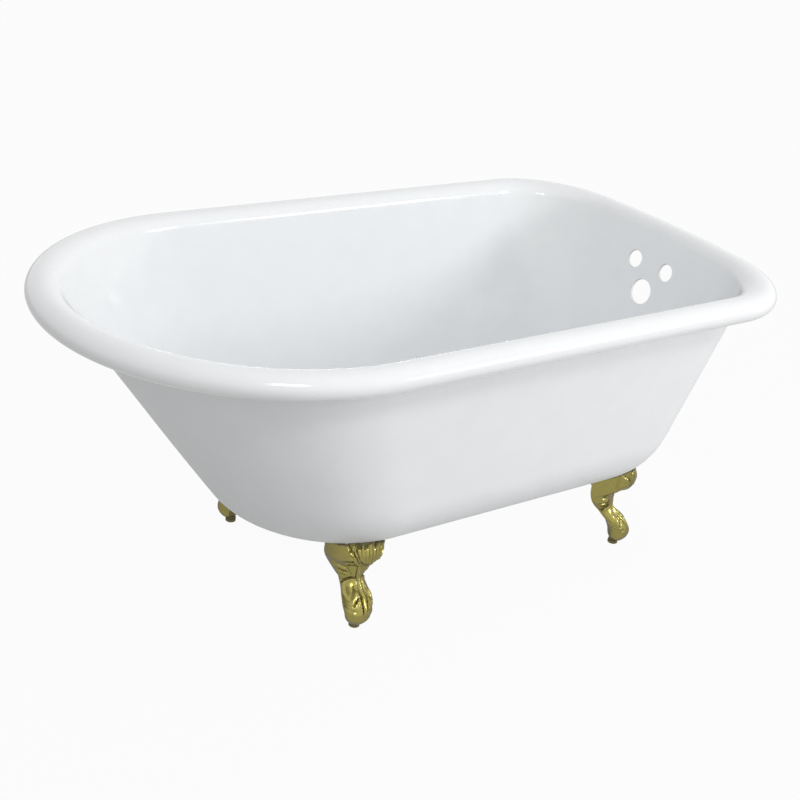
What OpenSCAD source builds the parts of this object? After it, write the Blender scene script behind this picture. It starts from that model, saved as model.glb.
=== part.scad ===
// Roll-top cast iron bathtub on four hollow claw-and-ball feet.
// +X runs from the round head end to the square tap end, +Y to the left of a
// bather who faces the taps. The origin is on the floor, mid-length and mid-width.

/* [Bath] */
// Length over the rolled rim
tub_l = 1400; // [1340:1:1480]
// Width over the rolled rim
tub_w = 762; // [740:1:790]
// Height of the rim's top over the floor
tub_h = 584; // [572:1:600]
// Depth of the casting, from the rim's top to its underside
tub_depth = 438; // [430:1:446]
// Thickness of the cast wall
wall_t = 7; // [5.5:0.5:8]

/* [Outline] */
// Length of the half-round head end, measured at the rim's outer edge
head_len = 410; // [390:1:430]
// How much of the wall's lean also shortens the head end's curve
head_round = 0.55; // [0.45:0.01:0.65]
// Radius of a tap end corner along the bath, at the rim's outer edge
corner_x = 186; // [160:1:200]
// Radius of a tap end corner across the bath, at the rim's outer edge
corner_y = 209; // [180:1:225]
// Turn of the bowed tap end where it meets a corner, in degrees
tap_turn = 6.5; // [2:0.1:9]
// Drawing in of each side towards the tap end
tap_narrow = 9; // [0:0.5:12]

/* [Walls] */
// Lean of the head wall from upright, in degrees
head_lean = 37.6; // [35:0.1:39]
// Lean of the two side walls
side_lean = 10.2; // [9:0.1:11.5]
// Lean of the tap wall
tap_lean = 13.6; // [11:0.1:15]
// Radius from the head wall into the floor
head_fillet = 72; // [60:1:85]
// Radius from a side wall into the floor
side_fillet = 144; // [130:1:155]
// Radius from the tap wall into the floor
tap_fillet = 85; // [70:1:100]
// Fall of the floor from the head feet to the tap feet
floor_fall = 4.5; // [0:0.5:8]

/* [Rim] */
// Width of the rolled rim
rim_w = 57; // [50:0.5:64]
// Height of the rolled rim
rim_h = 46; // [40:0.5:52]
// How far the lip curls under, in degrees past level
lip_deg = 62; // [40:1:75]

/* [Holes] */
// Distance between the two tap holes
tap_pitch = 85.7; // [76:0.1:110]
// Diameter of a tap hole
tap_hole_d = 35; // [30:0.5:38]
// Depth of the tap holes under the rim's top
tap_drop = 80; // [74:1:90]
// Diameter of the overflow hole
overflow_d = 51; // [40:0.5:54]
// Distance from the tap holes down to the overflow hole, along the wall
overflow_gap = 56; // [52:0.5:64]
// Diameter of the waste hole
waste_d = 48; // [40:0.5:52]
// Distance of the waste hole from the tap end of the rim
waste_back = 330; // [310:1:350]
// Diameter of the seat around the waste hole
waste_seat_d = 76; // [70:0.5:84]
// Depth of that seat
waste_seat_t = 2.5; // [1.5:0.1:3.5]
// Thickness of the boss under the seat
waste_boss_t = 5; // [4:0.5:8]

/* [Foot places] */
// Distance of a head foot's leveller from the head end of the rim
head_foot_in = 512; // [490:1:525]
// Distance of a head foot's leveller from the side of the rim
head_foot_side = 176.5; // [168:0.5:182]
// Way that a head foot faces, in degrees from the length
head_foot_turn = 104; // [98:1:112]
// Distance of a tap foot's leveller from the tap end of the rim
tap_foot_in = 231; // [224:0.5:250]
// Distance of a tap foot's leveller from the side of the rim
tap_foot_side = 194.5; // [188:0.5:202]
// Way that a tap foot faces, in degrees from the length
tap_foot_turn = 42.5; // [36:0.5:50]

/* [Claw foot] */
// Half width of the foot under the bath
knee_half = 45.5; // [38:0.5:48]
// Reach of the foot inwards from its leveller
foot_back = 66.5; // [60:0.5:72]
// Reach of the knee outwards from its leveller
knee_front = 21; // [17:0.5:25]
// Set-back of the ankle's front behind the leveller
ankle_set = 17; // [12:0.5:20]
// Half width of the ankle
ankle_half = 21; // [18:0.5:24]
// Half width of the claw over its ball
claw_half = 24; // [22:0.5:27]
// Radius of the ball under the claw
ball_r = 19.25; // [18:0.25:21]
// Reach of the ball's centre outwards from the leveller
ball_out = 5; // [3:0.5:8]
// Thickness of the foot's cast wall
foot_t = 5.5; // [4.5:0.5:7]
// Depth of the flutes in the shell on the knee
flute_d = 2.2; // [1:0.1:3]
// Number of ribs in the shell
flute_n = 9; // [5:2:11]
// Height of a toe over the ankle and ball
toe_d = 4; // [2.5:0.1:6]
// Angle between the middle toe and the outer ones
toe_turn = 58; // [45:1:70]
// Half angle of the shell on the knee
shell_turn = 68; // [55:1:80]
// How much lower the knee's flare begins at the back than at the front
knee_rise = 27; // [14:1:30]
// Squareness of the cheeks, 1 for a half round
cheek = 0.82; // [0.6:0.01:1]

/* [Fixings] */
// Diameter of the stud in the bath's foot boss
stud_d = 9.5; // [8:0.1:10]
// Distance of the stud inwards from the leveller
stud_back = 32; // [28:0.5:36]
// Depth of the stud's thread in its boss
stud_grip = 13; // [10:0.5:14]
// Radius of the foot boss
boss_r = 17; // [15:0.5:19]
// Drop of the foot boss's face under the bath's underside
boss_drop = 7; // [5:0.5:9]
// Thickness of the foot's clamping ear
ear_t = 7; // [6:0.5:9]
// Width of the ear's slot
slot_d = 11.5; // [10.5:0.5:13]
// Set-back of the ear behind the foot's back edge
ear_in = 8; // [4:0.5:12]
// Outer diameter of the washer
washer_d = 24; // [21:0.5:26]
// Thickness of the washer
washer_t = 2; // [1.5:0.1:3]
// Width of the nut across its flats
nut_af = 14.3; // [13:0.1:17]
// Height of the nut
nut_h = 8; // [6:0.5:9]
// Length of stud that shows under the nut
stud_show = 3; // [1:0.5:5]

/* [Leveller] */
// Diameter of the leveller's pad
pad_d = 20; // [18:0.5:26]
// Height of the pad
pad_h = 7; // [6:0.5:8]
// Diameter of the leveller's screw
screw_d = 10; // [8:0.5:11]
// Height of the screw's top over the floor
screw_top = 50; // [44:1:54]
// Width of the screw's hexagon across its flats
hex_af = 17; // [15:0.5:19]
// Height of the hexagon
hex_h = 4.5; // [4:0.5:6]
// Diameter of the screw's round end in the pad
end_d = 12; // [10:0.5:14]
// Depth of the round end's socket
socket_t = 4; // [3:0.5:5]

/* [Clearances] */
// Gap between the foot and the underside of the bath
seat_gap = 0.7; // [0.2:0.1:1]
// Running clearance of the screw in the foot, on the radius
run_gap = 0.06; // [0.02:0.01:0.1]
// Clearance of stud, washer and nut, on the radius
fix_gap = 0.3; // [0.1:0.05:0.5]
// Gap between the screw's hexagon and the claw when screwed right in
sole_gap = 1; // [0.5:0.1:2]
// Gap between clamped faces
face_gap = 0.05; // [0.02:0.01:0.2]

/* [Hidden] */

enamel = "white";
brass = "darkgoldenrod";
iron = "dimgray";

rim_a = rim_w / 2;
rim_b = rim_h / 2;
rim_z = tub_h - rim_b;
under_z = tub_h - tub_depth;

// Places of the levellers from mid-length and from the middle plane
head_foot_x = tub_l / 2 - head_foot_in;
head_foot_y = tub_w / 2 - head_foot_side;
tap_foot_x = tub_l / 2 - tap_foot_in;
tap_foot_y = tub_w / 2 - tap_foot_side;

// Least half width of the flat part of the tap end
end_half = 15;

// Segments around a plan outline of the bath
head_n = 24;
side_n = 3;
corner_n = 7;
end_n = 4;

// Segments around the foot's outer face, and around its inner face
face_n = 36;
back_n = 12;

// Skins of the casting are counted by their depth behind the enamelled face:
// 0 is the enamelled inside and top, wall_t is the outside and underside.

function skin_floor(deep) = under_z + wall_t - deep;

// Inset of a leaning wall from the rim's outer edge at height z: an ellipse over
// the rim, a straight wall touching it, and a round fillet into the floor.
function skin_inset(lean, fillet, deep, z) =
    let (
        a = rim_a - deep,
        b = rim_b - deep,
        r = fillet - wall_t + deep,
        h = z - skin_floor(deep),
        touch = rim_z + b * b * sin(lean) / norm([a * cos(lean), b * sin(lean)]),
        straight = rim_a + norm([a, b * tan(lean)]) + (rim_z - z) * tan(lean),
        start = r * (1 - sin(lean))
    )
    z > touch ? rim_a + a * sqrt(max(0, 1 - pow((z - rim_z) / b, 2))) :
    h < start ? straight + r * cos(lean) + (h - start) * tan(lean) - sqrt(max(0, r * r - pow(r - h, 2))) :
    straight;

function insets(deep, z) = [
    skin_inset(head_lean, head_fillet, deep, z),
    skin_inset(side_lean, side_fillet, deep, z),
    skin_inset(tap_lean, tap_fillet, deep, z)
];

// Fall of the floor at x, fading out up the walls
function dip(x, deep, z) =
    floor_fall * x / (head_foot_x + tap_foot_x) * max(0, 1 - (z - skin_floor(deep)) / side_fillet);

// Sizes of the plan outline for one set of insets: head curve's two semi-axes, half width
// at the taps, start of the head curve, end face, start and two radii of the corners, and
// the half width of the bowed end, its bow and the angle at which the corners take over.
// Outside the roll's crown the curves keep a true offset, inside it the corners stay as round.
function plan_sizes(in) =
    let (
        a = head_len - min(in[0], rim_a) - head_round * max(0, in[0] - rim_a),
        b = tub_w / 2 - in[1],
        w = b - tap_narrow,
        xt = tub_l / 2 - in[2],
        cx = corner_x - min(in[2], rim_a),
        cy = min(corner_y - min(in[1], rim_a), w - end_half),
        turn = atan(tan(tap_turn) * cy / cx),
        half = w - cy + cy * sin(turn),
        bow = half * tan(tap_turn) / 2
    )
    [a, b, w, -tub_l / 2 + in[0] + a, xt, xt - bow - cx * cos(turn), cx, cy, half, bow, turn];

// One ring of points around the bath, anticlockwise from the left end of the head curve
function ring(in) =
    let (
        p = plan_sizes(in), a = p[0], b = p[1], w = p[2], xh = p[3], xc = p[5], cx = p[6], cy = p[7],
        corner = [for (i = [0:corner_n]) let (t = 90 - (90 - p[10]) * i / corner_n)
            [xc + cx * cos(t), w - cy + cy * sin(t)]]
    )
    concat(
        [for (i = [0:head_n]) let (t = 90 + 180 * i / head_n) [xh + a * cos(t), b * sin(t)]],
        [for (i = [1:side_n - 1]) let (s = i / side_n) [xh + s * (xc - xh), -b + s * (b - w)]],
        [for (q = corner) [q[0], -q[1]]],
        [for (i = [1:end_n - 1]) let (s = 2 * i / end_n - 1) [p[4] - p[9] * s * s, s * p[8]]],
        backwards(corner),
        [for (i = [1:side_n - 1]) let (s = 1 - i / side_n) [xh + s * (xc - xh), b - s * (b - w)]]
    );

function ring_at(deep, z) = [for (q = ring(insets(deep, z))) [q[0], q[1], z - dip(q[0], deep, z)]];

// A flat copy of the floor's ring, drawn in towards the middle of the floor
function floor_ring(deep, share) =
    let (z = skin_floor(deep), mid = (plan_sizes(insets(deep, z))[3] + plan_sizes(insets(deep, z))[5]) / 2)
    [for (q = ring_at(deep, z)) let (x = mid + share * (q[0] - mid)) [x, share * q[1], z - dip(x, deep, z)]];

// Ring on the rolled rim at a round-the-roll angle: 0 is outermost, 90 is the top
function roll_ring(deep, turn) =
    let (in = rim_a - (rim_a - deep) * cos(turn))
    [for (q = ring([in, in, in])) [q[0], q[1], rim_z + (rim_b - deep) * sin(turn)]];

// Heights of the rings up one skin, from just over the floor to the rim's top
function skin_heights(deep) = concat(
    [for (t = [15:15:75]) skin_floor(deep) + (side_fillet - wall_t + deep) * (1 - cos(t))],
    [for (s = [0.33, 0.66]) under_z + side_fillet + s * (rim_z - under_z - side_fillet)],
    [for (t = [0, 22, 42, 60, 76]) rim_z + (rim_b - deep) * sin(t)]
);

function backwards(list) = [for (i = [len(list) - 1:-1:0]) list[i]];

// The whole skin as rings: floor, inner wall, over the rim, under the lip, outer wall, underside
function shell_rings() = concat(
    [for (s = [0.5, 1]) floor_ring(0, s)],
    [for (z = skin_heights(0)) ring_at(0, z)],
    [for (t = [90, 75, 60, 45, 30, 15, 0, -20, -42, -lip_deg]) roll_ring(0, t)],
    [for (t = [-lip_deg, -30, -5, 20, 42, 64, 90]) roll_ring(wall_t, t)],
    [for (z = backwards(skin_heights(wall_t))) ring_at(wall_t, z)],
    [for (s = [1, 0.5]) floor_ring(wall_t, s)]
);

// Faces between neighbouring rings of n points, for m rings
function side_faces(n, m) = [for (k = [0:m - 2]) for (i = [0:n - 1])
    let (j = (i + 1) % n, a = k * n + i, b = k * n + j)
    each [[a, a + n, b], [b, a + n, b + n]]];

// Solid from a stack of rings, closed at each end by a fan round the ring's middle
module loft(rings) {
    n = len(rings[0]);
    m = len(rings);
    middles = [for (r = [rings[0], rings[m - 1]]) [for (c = [0:2]) sum([for (q = r) q[c]]) / n]];
    fans = [for (i = [0:n - 1]) let (j = (i + 1) % n, top = (m - 1) * n)
        each [[m * n, i, j], [m * n + 1, top + j, top + i]]];
    polyhedron(concat([for (r = rings) each r], middles), concat(side_faces(n, m), fans), 8);
}

function sum(list) = [for (v = list) 1] * list;

// Half width of a skin at x and height z
function half_width(x, deep, z) =
    let (p = plan_sizes(insets(deep, z)), dh = (x - p[3]) / p[0], dc = (x - p[5]) / p[6])
    x < p[3] ? p[1] * sqrt(max(0, 1 - dh * dh)) :
    x < p[5] ? p[1] - (p[1] - p[2]) * (x - p[3]) / (p[5] - p[3]) :
    p[2] - p[7] + p[7] * sqrt(max(0, 1 - dc * dc));

// Height of the underside over a point of the floor plan, by halving
function underside(x, y, low = under_z, high = under_z + side_fillet, steps = 16) =
    let (mid = (low + high) / 2)
    steps == 0 ? low - dip(x, wall_t, low) :
    half_width(x, wall_t, mid) > abs(y) ?
        underside(x, y, low, mid, steps - 1) : underside(x, y, mid, high, steps - 1);

// Holes in the tap wall and the floor

hole_plan = plan_sizes(insets(0, tub_h - tap_drop));

// Places children on the inner face of the tap wall, +Z into the basin
module on_tap_wall(y, down) {
    translate([hole_plan[4] - hole_plan[9] * pow(y / hole_plan[8], 2), y, tub_h - tap_drop])
        rotate([0, -90 + tap_lean, 0])
            translate([-down, 0, 0])
                children();
}

module tap_wall_holes() {
    for (y = [-tap_pitch / 2, tap_pitch / 2])
        on_tap_wall(y, 0) cylinder(h = 6 * wall_t, d = tap_hole_d, center = true, $fn = 64);
    on_tap_wall(0, overflow_gap) cylinder(h = 6 * wall_t, d = overflow_d, center = true, $fn = 64);
}

waste_x = tub_l / 2 - waste_back;
waste_z = skin_floor(0) - dip(waste_x, 0, skin_floor(0));

module waste_boss() {
    translate([waste_x, 0, waste_z - wall_t - waste_boss_t])
        cylinder(h = waste_boss_t + wall_t / 2, d = waste_seat_d + 2 * waste_boss_t, $fn = 64);
}

module waste_hole() {
    translate([waste_x, 0, waste_z - 4 * wall_t])
        cylinder(h = 8 * wall_t, d = waste_d, $fn = 64);
    translate([waste_x, 0, waste_z - waste_seat_t])
        cylinder(h = 4 * wall_t, d = waste_seat_d, $fn = 64);
}

// Foot places

FEET = [
    [-head_foot_x, head_foot_y, head_foot_turn],
    [tap_foot_x, tap_foot_y, tap_foot_turn]
];

// Plan position on the right-hand side of the bath of a point given in a foot's own plan
function on_plan(foot, out, side) = [
    foot[0] + out * cos(foot[2]) + side * sin(foot[2]),
    -foot[1] - out * sin(foot[2]) + side * cos(foot[2])
];

// Moves children from the foot's own axes, +X outwards, to its place; hand 1 is the left side
module at_foot(foot, hand) {
    mirror([0, hand, 0])
        translate([foot[0], -foot[1], 0])
            rotate([0, 0, -foot[2]])
                children();
}

boss_z = under_z - boss_drop;
ear_z = boss_z - face_gap - ear_t;
washer_z = ear_z - face_gap - washer_t;
nut_z = washer_z - face_gap - nut_h;

// Bosses cast under the bath for the foot studs, ending inside the wall
module foot_bosses() {
    difference() {
        for (foot = FEET, hand = [0, 1])
            at_foot(foot, hand)
                translate([-stud_back, 0, boss_z])
                    cylinder(h = boss_drop + 8 * wall_t, r = boss_r, $fn = 48);
        basin_core();
    }
}

module basin_core() {
    mid = wall_t / 2;
    loft(concat(
        [floor_ring(mid, 0.5), floor_ring(mid, 1)],
        [for (z = skin_heights(mid)) if (z < under_z + side_fillet) ring_at(mid, z)]
    ));
}

module stud_holes() {
    for (foot = FEET, hand = [0, 1])
        at_foot(foot, hand)
            translate([-stud_back, 0, boss_z - 1])
                cylinder(h = 1 + stud_grip + fix_gap, d = stud_d + 2 * fix_gap, $fn = 32);
}

module tub_shell() {
    color(enamel)
        difference() {
            union() {
                loft(backwards(shell_rings()));
                foot_bosses();
                waste_boss();
            }
            tap_wall_holes();
            waste_hole();
            stud_holes();
        }
}

// Claw foot

sole_z = pad_h + hex_h + 5 * run_gap + sole_gap;
ball_z = sole_z + 0.7 * ball_r;
claw_low = ball_z - 0.85 * ball_r;
ankle_z = 0.705 * under_z;

// Smooth step from 0 to 1 between two heights
function ease(z, from, to) = let (t = min(1, max(0, (z - from) / (to - from)))) t * t * (3 - 2 * t);

// Share of the way up the knee, 0 at the ankle and 1 under the bath
function knee_share(z) = min(1, max(0, (z - ankle_z) / (under_z - ankle_z)));

// Share of the knee's reach, gained fast over the crease and slower under the bath
function knee_bulge(share) = 0.86 * (1 - pow(1 - min(1, share / 0.53), 1.9)) + 0.14 * share;

// Shrinking of the ball below its middle
function ball_share(z) = sqrt(1 - pow(min(0, z - ball_z) / ball_r, 2));

// Front, back and half width of the foot at a height
function foot_front(z) =
    ball_out + ball_r * ball_share(z)
    - (ball_out + ball_r + ankle_set) * ease(z, ball_z + 4.5, 0.87 * ankle_z)
    + (knee_front + ankle_set) * knee_bulge(knee_share(z));
function foot_rear(z) =
    ball_out - ball_r * ball_share(z)
    - (foot_back + ball_out - ball_r) * ease(z, ball_z - 6, 1.22 * ankle_z);
function foot_half(z) =
    ball_r * ball_share(z)
    + (claw_half - ball_r) * ease(z, ball_z - 5, ball_z + 18)
    - (claw_half - ankle_half) * ease(z, ball_z + 28, ankle_z)
    + (knee_half - ankle_half) * ease(knee_share(z), -0.23, 1.07);

// The half width again, with the flare begun earlier towards the back edges, u = -1 and 1
function foot_width(z, u) = foot_half(z + knee_rise * foot_open(z) * pow(sin(90 * u), 2));

// How open the back is at a height: 0 for the solid claw, 1 for the hollow leg and knee
function foot_open(z) = ease(z, ball_z + ball_r, 0.85 * ankle_z);

// Three toes run down the claw and fade out up the leg
function toe(turn, z) =
    toe_d * ease(z, claw_low, ball_z) * (1 - ease(z, ball_z + 8, 0.95 * ankle_z))
    * max([for (a = [-toe_turn, 0, toe_turn]) pow(max(0, cos(turn - a)), 20)]);

// Ribs of the shell spread over the knee from the crease above the ankle
function shell_rib(turn, z) =
    abs(turn) > shell_turn ? 0 :
    flute_d * (0.5 * cos(turn / shell_turn * 180 * (flute_n - 1) / 2) - 0.5)
    * ease(knee_share(z), 0, 0.35);

// A point of the outer face, from u = -1 at one back edge round the front to u = 1.
// The open leg is a U with round cheeks, the solid claw a full round.
function foot_outer(z, u) =
    let (
        f = foot_front(z), b = foot_rear(z), w = foot_width(z, u), open = foot_open(z),
        turn = u * (130 - 40 * open),
        bump = toe(turn, z) + shell_rib(turn, z),
        leg = [b + (f - b) * pow(cos(90 * u), cheek), w * sign(u) * pow(abs(sin(90 * u)), cheek)],
        claw = [(f + b) / 2 + (f - b) / 2 * cos(130 * u), w * sin(130 * u)]
    )
    open * leg + (1 - open) * claw + bump * [cos(turn), sin(turn)];

// A point of the inner face: the hollow's wall in the leg, the round heel of the claw
function foot_inner(z, u) =
    let (
        f = foot_front(z), b = foot_rear(z), w = foot_width(z, u), open = foot_open(z),
        fi = f - foot_t - flute_d * ease(knee_share(z), 0, 0.35),
        leg = [b + (fi - b) * pow(cos(90 * u), cheek), (w - foot_t) * sign(u) * pow(abs(sin(90 * u)), cheek)],
        heel = [(f + b) / 2 - (f - b) / 2 * cos(42 * u), w * sin(42 * u)]
    )
    open * leg + (1 - open) * heel;

foot_us = [for (i = [0:face_n]) 2 * i / face_n - 1];
back_us = [for (i = [0:back_n]) 1 - 2 * i / back_n];

function foot_section(z) = concat([for (u = foot_us) foot_outer(z, u)], [for (u = back_us) foot_inner(z, u)]);

// Heights of the foot's rings, closer where the claw and the knee turn
foot_heights = concat(
    [for (t = [0, 0.3, 0.6, 1]) claw_low + t * (ball_z - claw_low)],
    [for (t = [0.1:0.1:1]) ball_z + t * (ankle_z - ball_z)],
    [for (t = [0.12, 0.24, 0.38, 0.55, 0.7, 0.85, 1]) ankle_z + t * (under_z - ankle_z)]
);

// Faces that close a foot section from its outer points to its inner ones
function rib_faces(base, flip) =
    let (n = face_n + back_n + 2, per = face_n / back_n)
    [for (i = [0:face_n - 1])
        let (j = n - 1 - floor(i / per), next = n - 1 - floor((i + 1) / per))
        each concat(
            [flip ? [base + i, base + i + 1, base + j] : [base + i + 1, base + i, base + j]],
            next == j ? [] : [flip ? [base + j, base + i + 1, base + next] : [base + j, base + next, base + i + 1]]
        )];

// Rise of a foot point at the top, from the level underside to the bath's real one
function rise_at(foot, q) = let (p = on_plan(foot, q[0], q[1])) underside(p[0], p[1]) - seat_gap - under_z;

// The foot's rings. Above the ankle each point rises until the top lies under the bath.
module claw_foot_body(foot) {
    rise = [for (q = foot_section(under_z)) rise_at(foot, q)];
    n = len(rise);
    m = len(foot_heights);
    points = [for (z = foot_heights) let (s = foot_section(z))
        for (i = [0:n - 1]) [s[i][0], s[i][1], z + knee_share(z) * rise[i]]];
    polyhedron(points, concat(side_faces(n, m), rib_faces(0, true), rib_faces((m - 1) * n, false)), 8);
}

// Outline of the ear: a little inside the cheeks' wall, with the knee's rise taken off
function ear_outline(foot) = [for (u = [1:-0.125:-1])
    let (
        room = under_z - ankle_z,
        rise = rise_at(foot, foot_outer(under_z, u)),
        z = ankle_z + (ear_z + ear_t / 2 - ankle_z) * room / (room + rise),
        q = foot_outer(z, u),
        r = foot_inner(z, u)
    )
    if (q[0] > -foot_back + ear_in) r + 0.35 * (q - r)];

// Ear across the hollow, open to the back so that it slides over the stud
module ear(foot) {
    edge = ear_outline(foot);
    difference() {
        translate([0, 0, ear_z])
            linear_extrude(ear_t)
                polygon(concat(
                    [[-foot_back + ear_in, edge[len(edge) - 1][1]], [-foot_back + ear_in, edge[0][1]]],
                    edge
                ));
        translate([-stud_back, 0, ear_z - 1]) cylinder(h = ear_t + 2, d = slot_d, $fn = 32);
        translate([-foot_back - 1, -slot_d / 2, ear_z - 1]) cube([foot_back - stud_back + 1, slot_d, ear_t + 2]);
    }
}

module claw_foot(foot, hand) {
    color(brass)
        at_foot(foot, hand)
            difference() {
                union() {
                    claw_foot_body(foot);
                    ear(foot);
                }
                cylinder(h = sole_z, d = pad_d + 2, $fn = 48);
                cylinder(h = screw_top + sole_gap, d = screw_d + 2 * run_gap, $fn = 48);
            }
}

// Fixings of a foot

module foot_stud(foot, hand) {
    color(iron)
        at_foot(foot, hand)
            translate([-stud_back, 0, nut_z - stud_show])
                cylinder(h = boss_z + stud_grip - nut_z + stud_show, d = stud_d, $fn = 32);
}

module foot_washer(foot, hand) {
    color(iron)
        at_foot(foot, hand)
            translate([-stud_back, 0, washer_z])
                difference() {
                    cylinder(h = washer_t, d = washer_d, $fn = 48);
                    translate([0, 0, -1]) cylinder(h = washer_t + 2, d = stud_d + 2 * fix_gap, $fn = 32);
                }
}

module foot_nut(foot, hand) {
    color(iron)
        at_foot(foot, hand)
            translate([-stud_back, 0, nut_z])
                difference() {
                    intersection() {
                        cylinder(h = nut_h, d = nut_af / cos(30), $fn = 6);
                        rotate_extrude($fn = 48)
                            polygon([[0, 0], [0.47 * nut_af, 0], [0.6 * nut_af, 0.09 * nut_af],
                                [0.6 * nut_af, nut_h], [0, nut_h]]);
                    }
                    translate([0, 0, -1]) cylinder(h = nut_h + 2, d = stud_d + 2 * run_gap, $fn = 32);
                }
}

// Leveller: a pad that stands on the floor and the screw that turns in it

socket_z = pad_h - socket_t;
hex_z = pad_h + 5 * run_gap;

module leveller_pad(foot, hand) {
    edge = pad_d / 15;
    color(iron)
        at_foot(foot, hand)
            rotate_extrude($fn = 48)
                polygon([
                    [0, 0], [pad_d / 2 - edge, 0], [pad_d / 2, edge], [pad_d / 2, pad_h - edge],
                    [pad_d / 2 - edge, pad_h], [end_d / 2 + run_gap, pad_h],
                    [end_d / 2 + run_gap, socket_z], [0, socket_z]
                ]);
}

module leveller_screw(foot, hand) {
    color(iron)
        at_foot(foot, hand) {
            translate([0, 0, socket_z + face_gap]) cylinder(h = hex_z - socket_z, d = end_d, $fn = 48);
            translate([0, 0, hex_z]) cylinder(h = hex_h, d = hex_af / cos(30), $fn = 6);
            translate([0, 0, hex_z + hex_h / 2])
                cylinder(h = screw_top - hex_z - hex_h / 2, d = screw_d, $fn = 48);
        }
}

HEAD = FEET[0];
TAP = FEET[1];

tub_shell();
claw_foot(HEAD, 0);  // claw_foot_head_right
claw_foot(HEAD, 1);  // claw_foot_head_left
claw_foot(TAP, 0);  // claw_foot_tap_right
claw_foot(TAP, 1);  // claw_foot_tap_left
foot_stud(HEAD, 0);  // foot_stud_head_right
foot_stud(HEAD, 1);  // foot_stud_head_left
foot_stud(TAP, 0);  // foot_stud_tap_right
foot_stud(TAP, 1);  // foot_stud_tap_left
foot_washer(HEAD, 0);  // foot_washer_head_right
foot_washer(HEAD, 1);  // foot_washer_head_left
foot_washer(TAP, 0);  // foot_washer_tap_right
foot_washer(TAP, 1);  // foot_washer_tap_left
foot_nut(HEAD, 0);  // foot_nut_head_right
foot_nut(HEAD, 1);  // foot_nut_head_left
foot_nut(TAP, 0);  // foot_nut_tap_right
foot_nut(TAP, 1);  // foot_nut_tap_left
leveller_pad(HEAD, 0);  // leveller_pad_head_right
leveller_pad(HEAD, 1);  // leveller_pad_head_left
leveller_pad(TAP, 0);  // leveller_pad_tap_right
leveller_pad(TAP, 1);  // leveller_pad_tap_left
leveller_screw(HEAD, 0);  // leveller_screw_head_right
leveller_screw(HEAD, 1);  // leveller_screw_head_left
leveller_screw(TAP, 0);  // leveller_screw_tap_right
leveller_screw(TAP, 1);  // leveller_screw_tap_left
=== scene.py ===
# %% [markdown]
# # A roll-top bath on claw feet
# The bath is one enamelled iron casting on four polished brass feet. The packed
# model gives the places and the motion. This lesson gives every piece its real
# surface: a smooth bath skin, carved feet, threads, enamel and brass.

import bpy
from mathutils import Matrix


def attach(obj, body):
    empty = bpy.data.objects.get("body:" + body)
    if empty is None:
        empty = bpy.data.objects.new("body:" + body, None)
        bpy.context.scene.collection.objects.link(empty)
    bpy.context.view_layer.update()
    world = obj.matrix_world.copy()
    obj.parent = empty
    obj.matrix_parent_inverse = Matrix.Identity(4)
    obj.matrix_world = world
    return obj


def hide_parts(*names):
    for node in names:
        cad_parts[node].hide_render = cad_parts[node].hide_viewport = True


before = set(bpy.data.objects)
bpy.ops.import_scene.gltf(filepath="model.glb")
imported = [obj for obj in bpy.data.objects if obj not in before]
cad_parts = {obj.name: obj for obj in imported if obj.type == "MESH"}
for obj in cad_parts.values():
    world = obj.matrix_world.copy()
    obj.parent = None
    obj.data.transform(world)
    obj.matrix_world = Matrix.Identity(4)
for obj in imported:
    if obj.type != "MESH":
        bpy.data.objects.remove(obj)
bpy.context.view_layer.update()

import ast
import math

import bmesh
import bpy
import numpy as np
from mathutils import Matrix, Vector
from mathutils.bvhtree import BVHTree

MM = 0.001
FEET = ("head_right", "head_left", "tap_right", "tap_left")

# %% [markdown]
# The camera stands where the photographer stood. The photo is a cut-out that was
# turned by about 8 degrees, so the camera is rolled by the same angle. The angles and
# the distance were solved from points measured on the photo. The camera's axes are
# built by hand from the three angles, because that shows what each one does.

# %% Camera
YAW, PITCH, ROLL = math.radians(40.75), math.radians(24.39), math.radians(8.11)
AIM = Vector((0.0208, 0.0, 0.3115))
DISTANCE = 3.0436
FOCAL_IN_PIXELS = 1650.34
PHOTO_WIDTH = 800

ahead = Vector((math.sin(YAW) * math.cos(PITCH), math.cos(YAW) * math.cos(PITCH), -math.sin(PITCH)))
right = Vector((math.cos(YAW), -math.sin(YAW), 0))
up = right.cross(ahead)
right, up = (right * math.cos(ROLL) + up * math.sin(ROLL), up * math.cos(ROLL) - right * math.sin(ROLL))

camera = bpy.data.objects.new("camera", bpy.data.cameras.new("camera"))
camera.data.lens = camera.data.sensor_width * FOCAL_IN_PIXELS / PHOTO_WIDTH
stand = Matrix.Translation(AIM - ahead * DISTANCE)
camera.matrix_world = stand @ Matrix((right, up, -ahead)).transposed().to_4x4()
bpy.context.collection.objects.link(camera)
bpy.context.scene.camera = camera
print("lens", round(camera.data.lens, 2), "mm, camera at", [round(v, 3) for v in camera.location])

# %% [markdown]
# Every material and every Geometry Nodes tree here is built with one small function:
# it adds a node, sets what is asked and links the sockets that it is given. Nodes put
# together by hand would do as well, but a script can be read and run again. Colours
# are written as the hex values that a colour picker shows, and turned to linear once.

# %% Nodes and colours
def add_node(tree, kind, inputs=(), **settings):
    node = tree.nodes.new(kind)
    for name, value in settings.items():
        setattr(node, name, value)
    pairs = inputs.items() if isinstance(inputs, dict) else enumerate(inputs)
    for key, value in pairs:
        if isinstance(value, bpy.types.NodeSocket):
            tree.links.new(value, node.inputs[key])
        else:
            node.inputs[key].default_value = value
    return node


def linear(code):
    channels = [int(code[i:i + 2], 16) / 255 for i in (1, 3, 5)]
    return [c / 12.92 if c <= 0.04045 else ((c + 0.055) / 1.055) ** 2.4 for c in channels] + [1.0]


print("white enamel in linear light:", [round(c, 3) for c in linear("#f5f7f8")[:3]])

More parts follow.
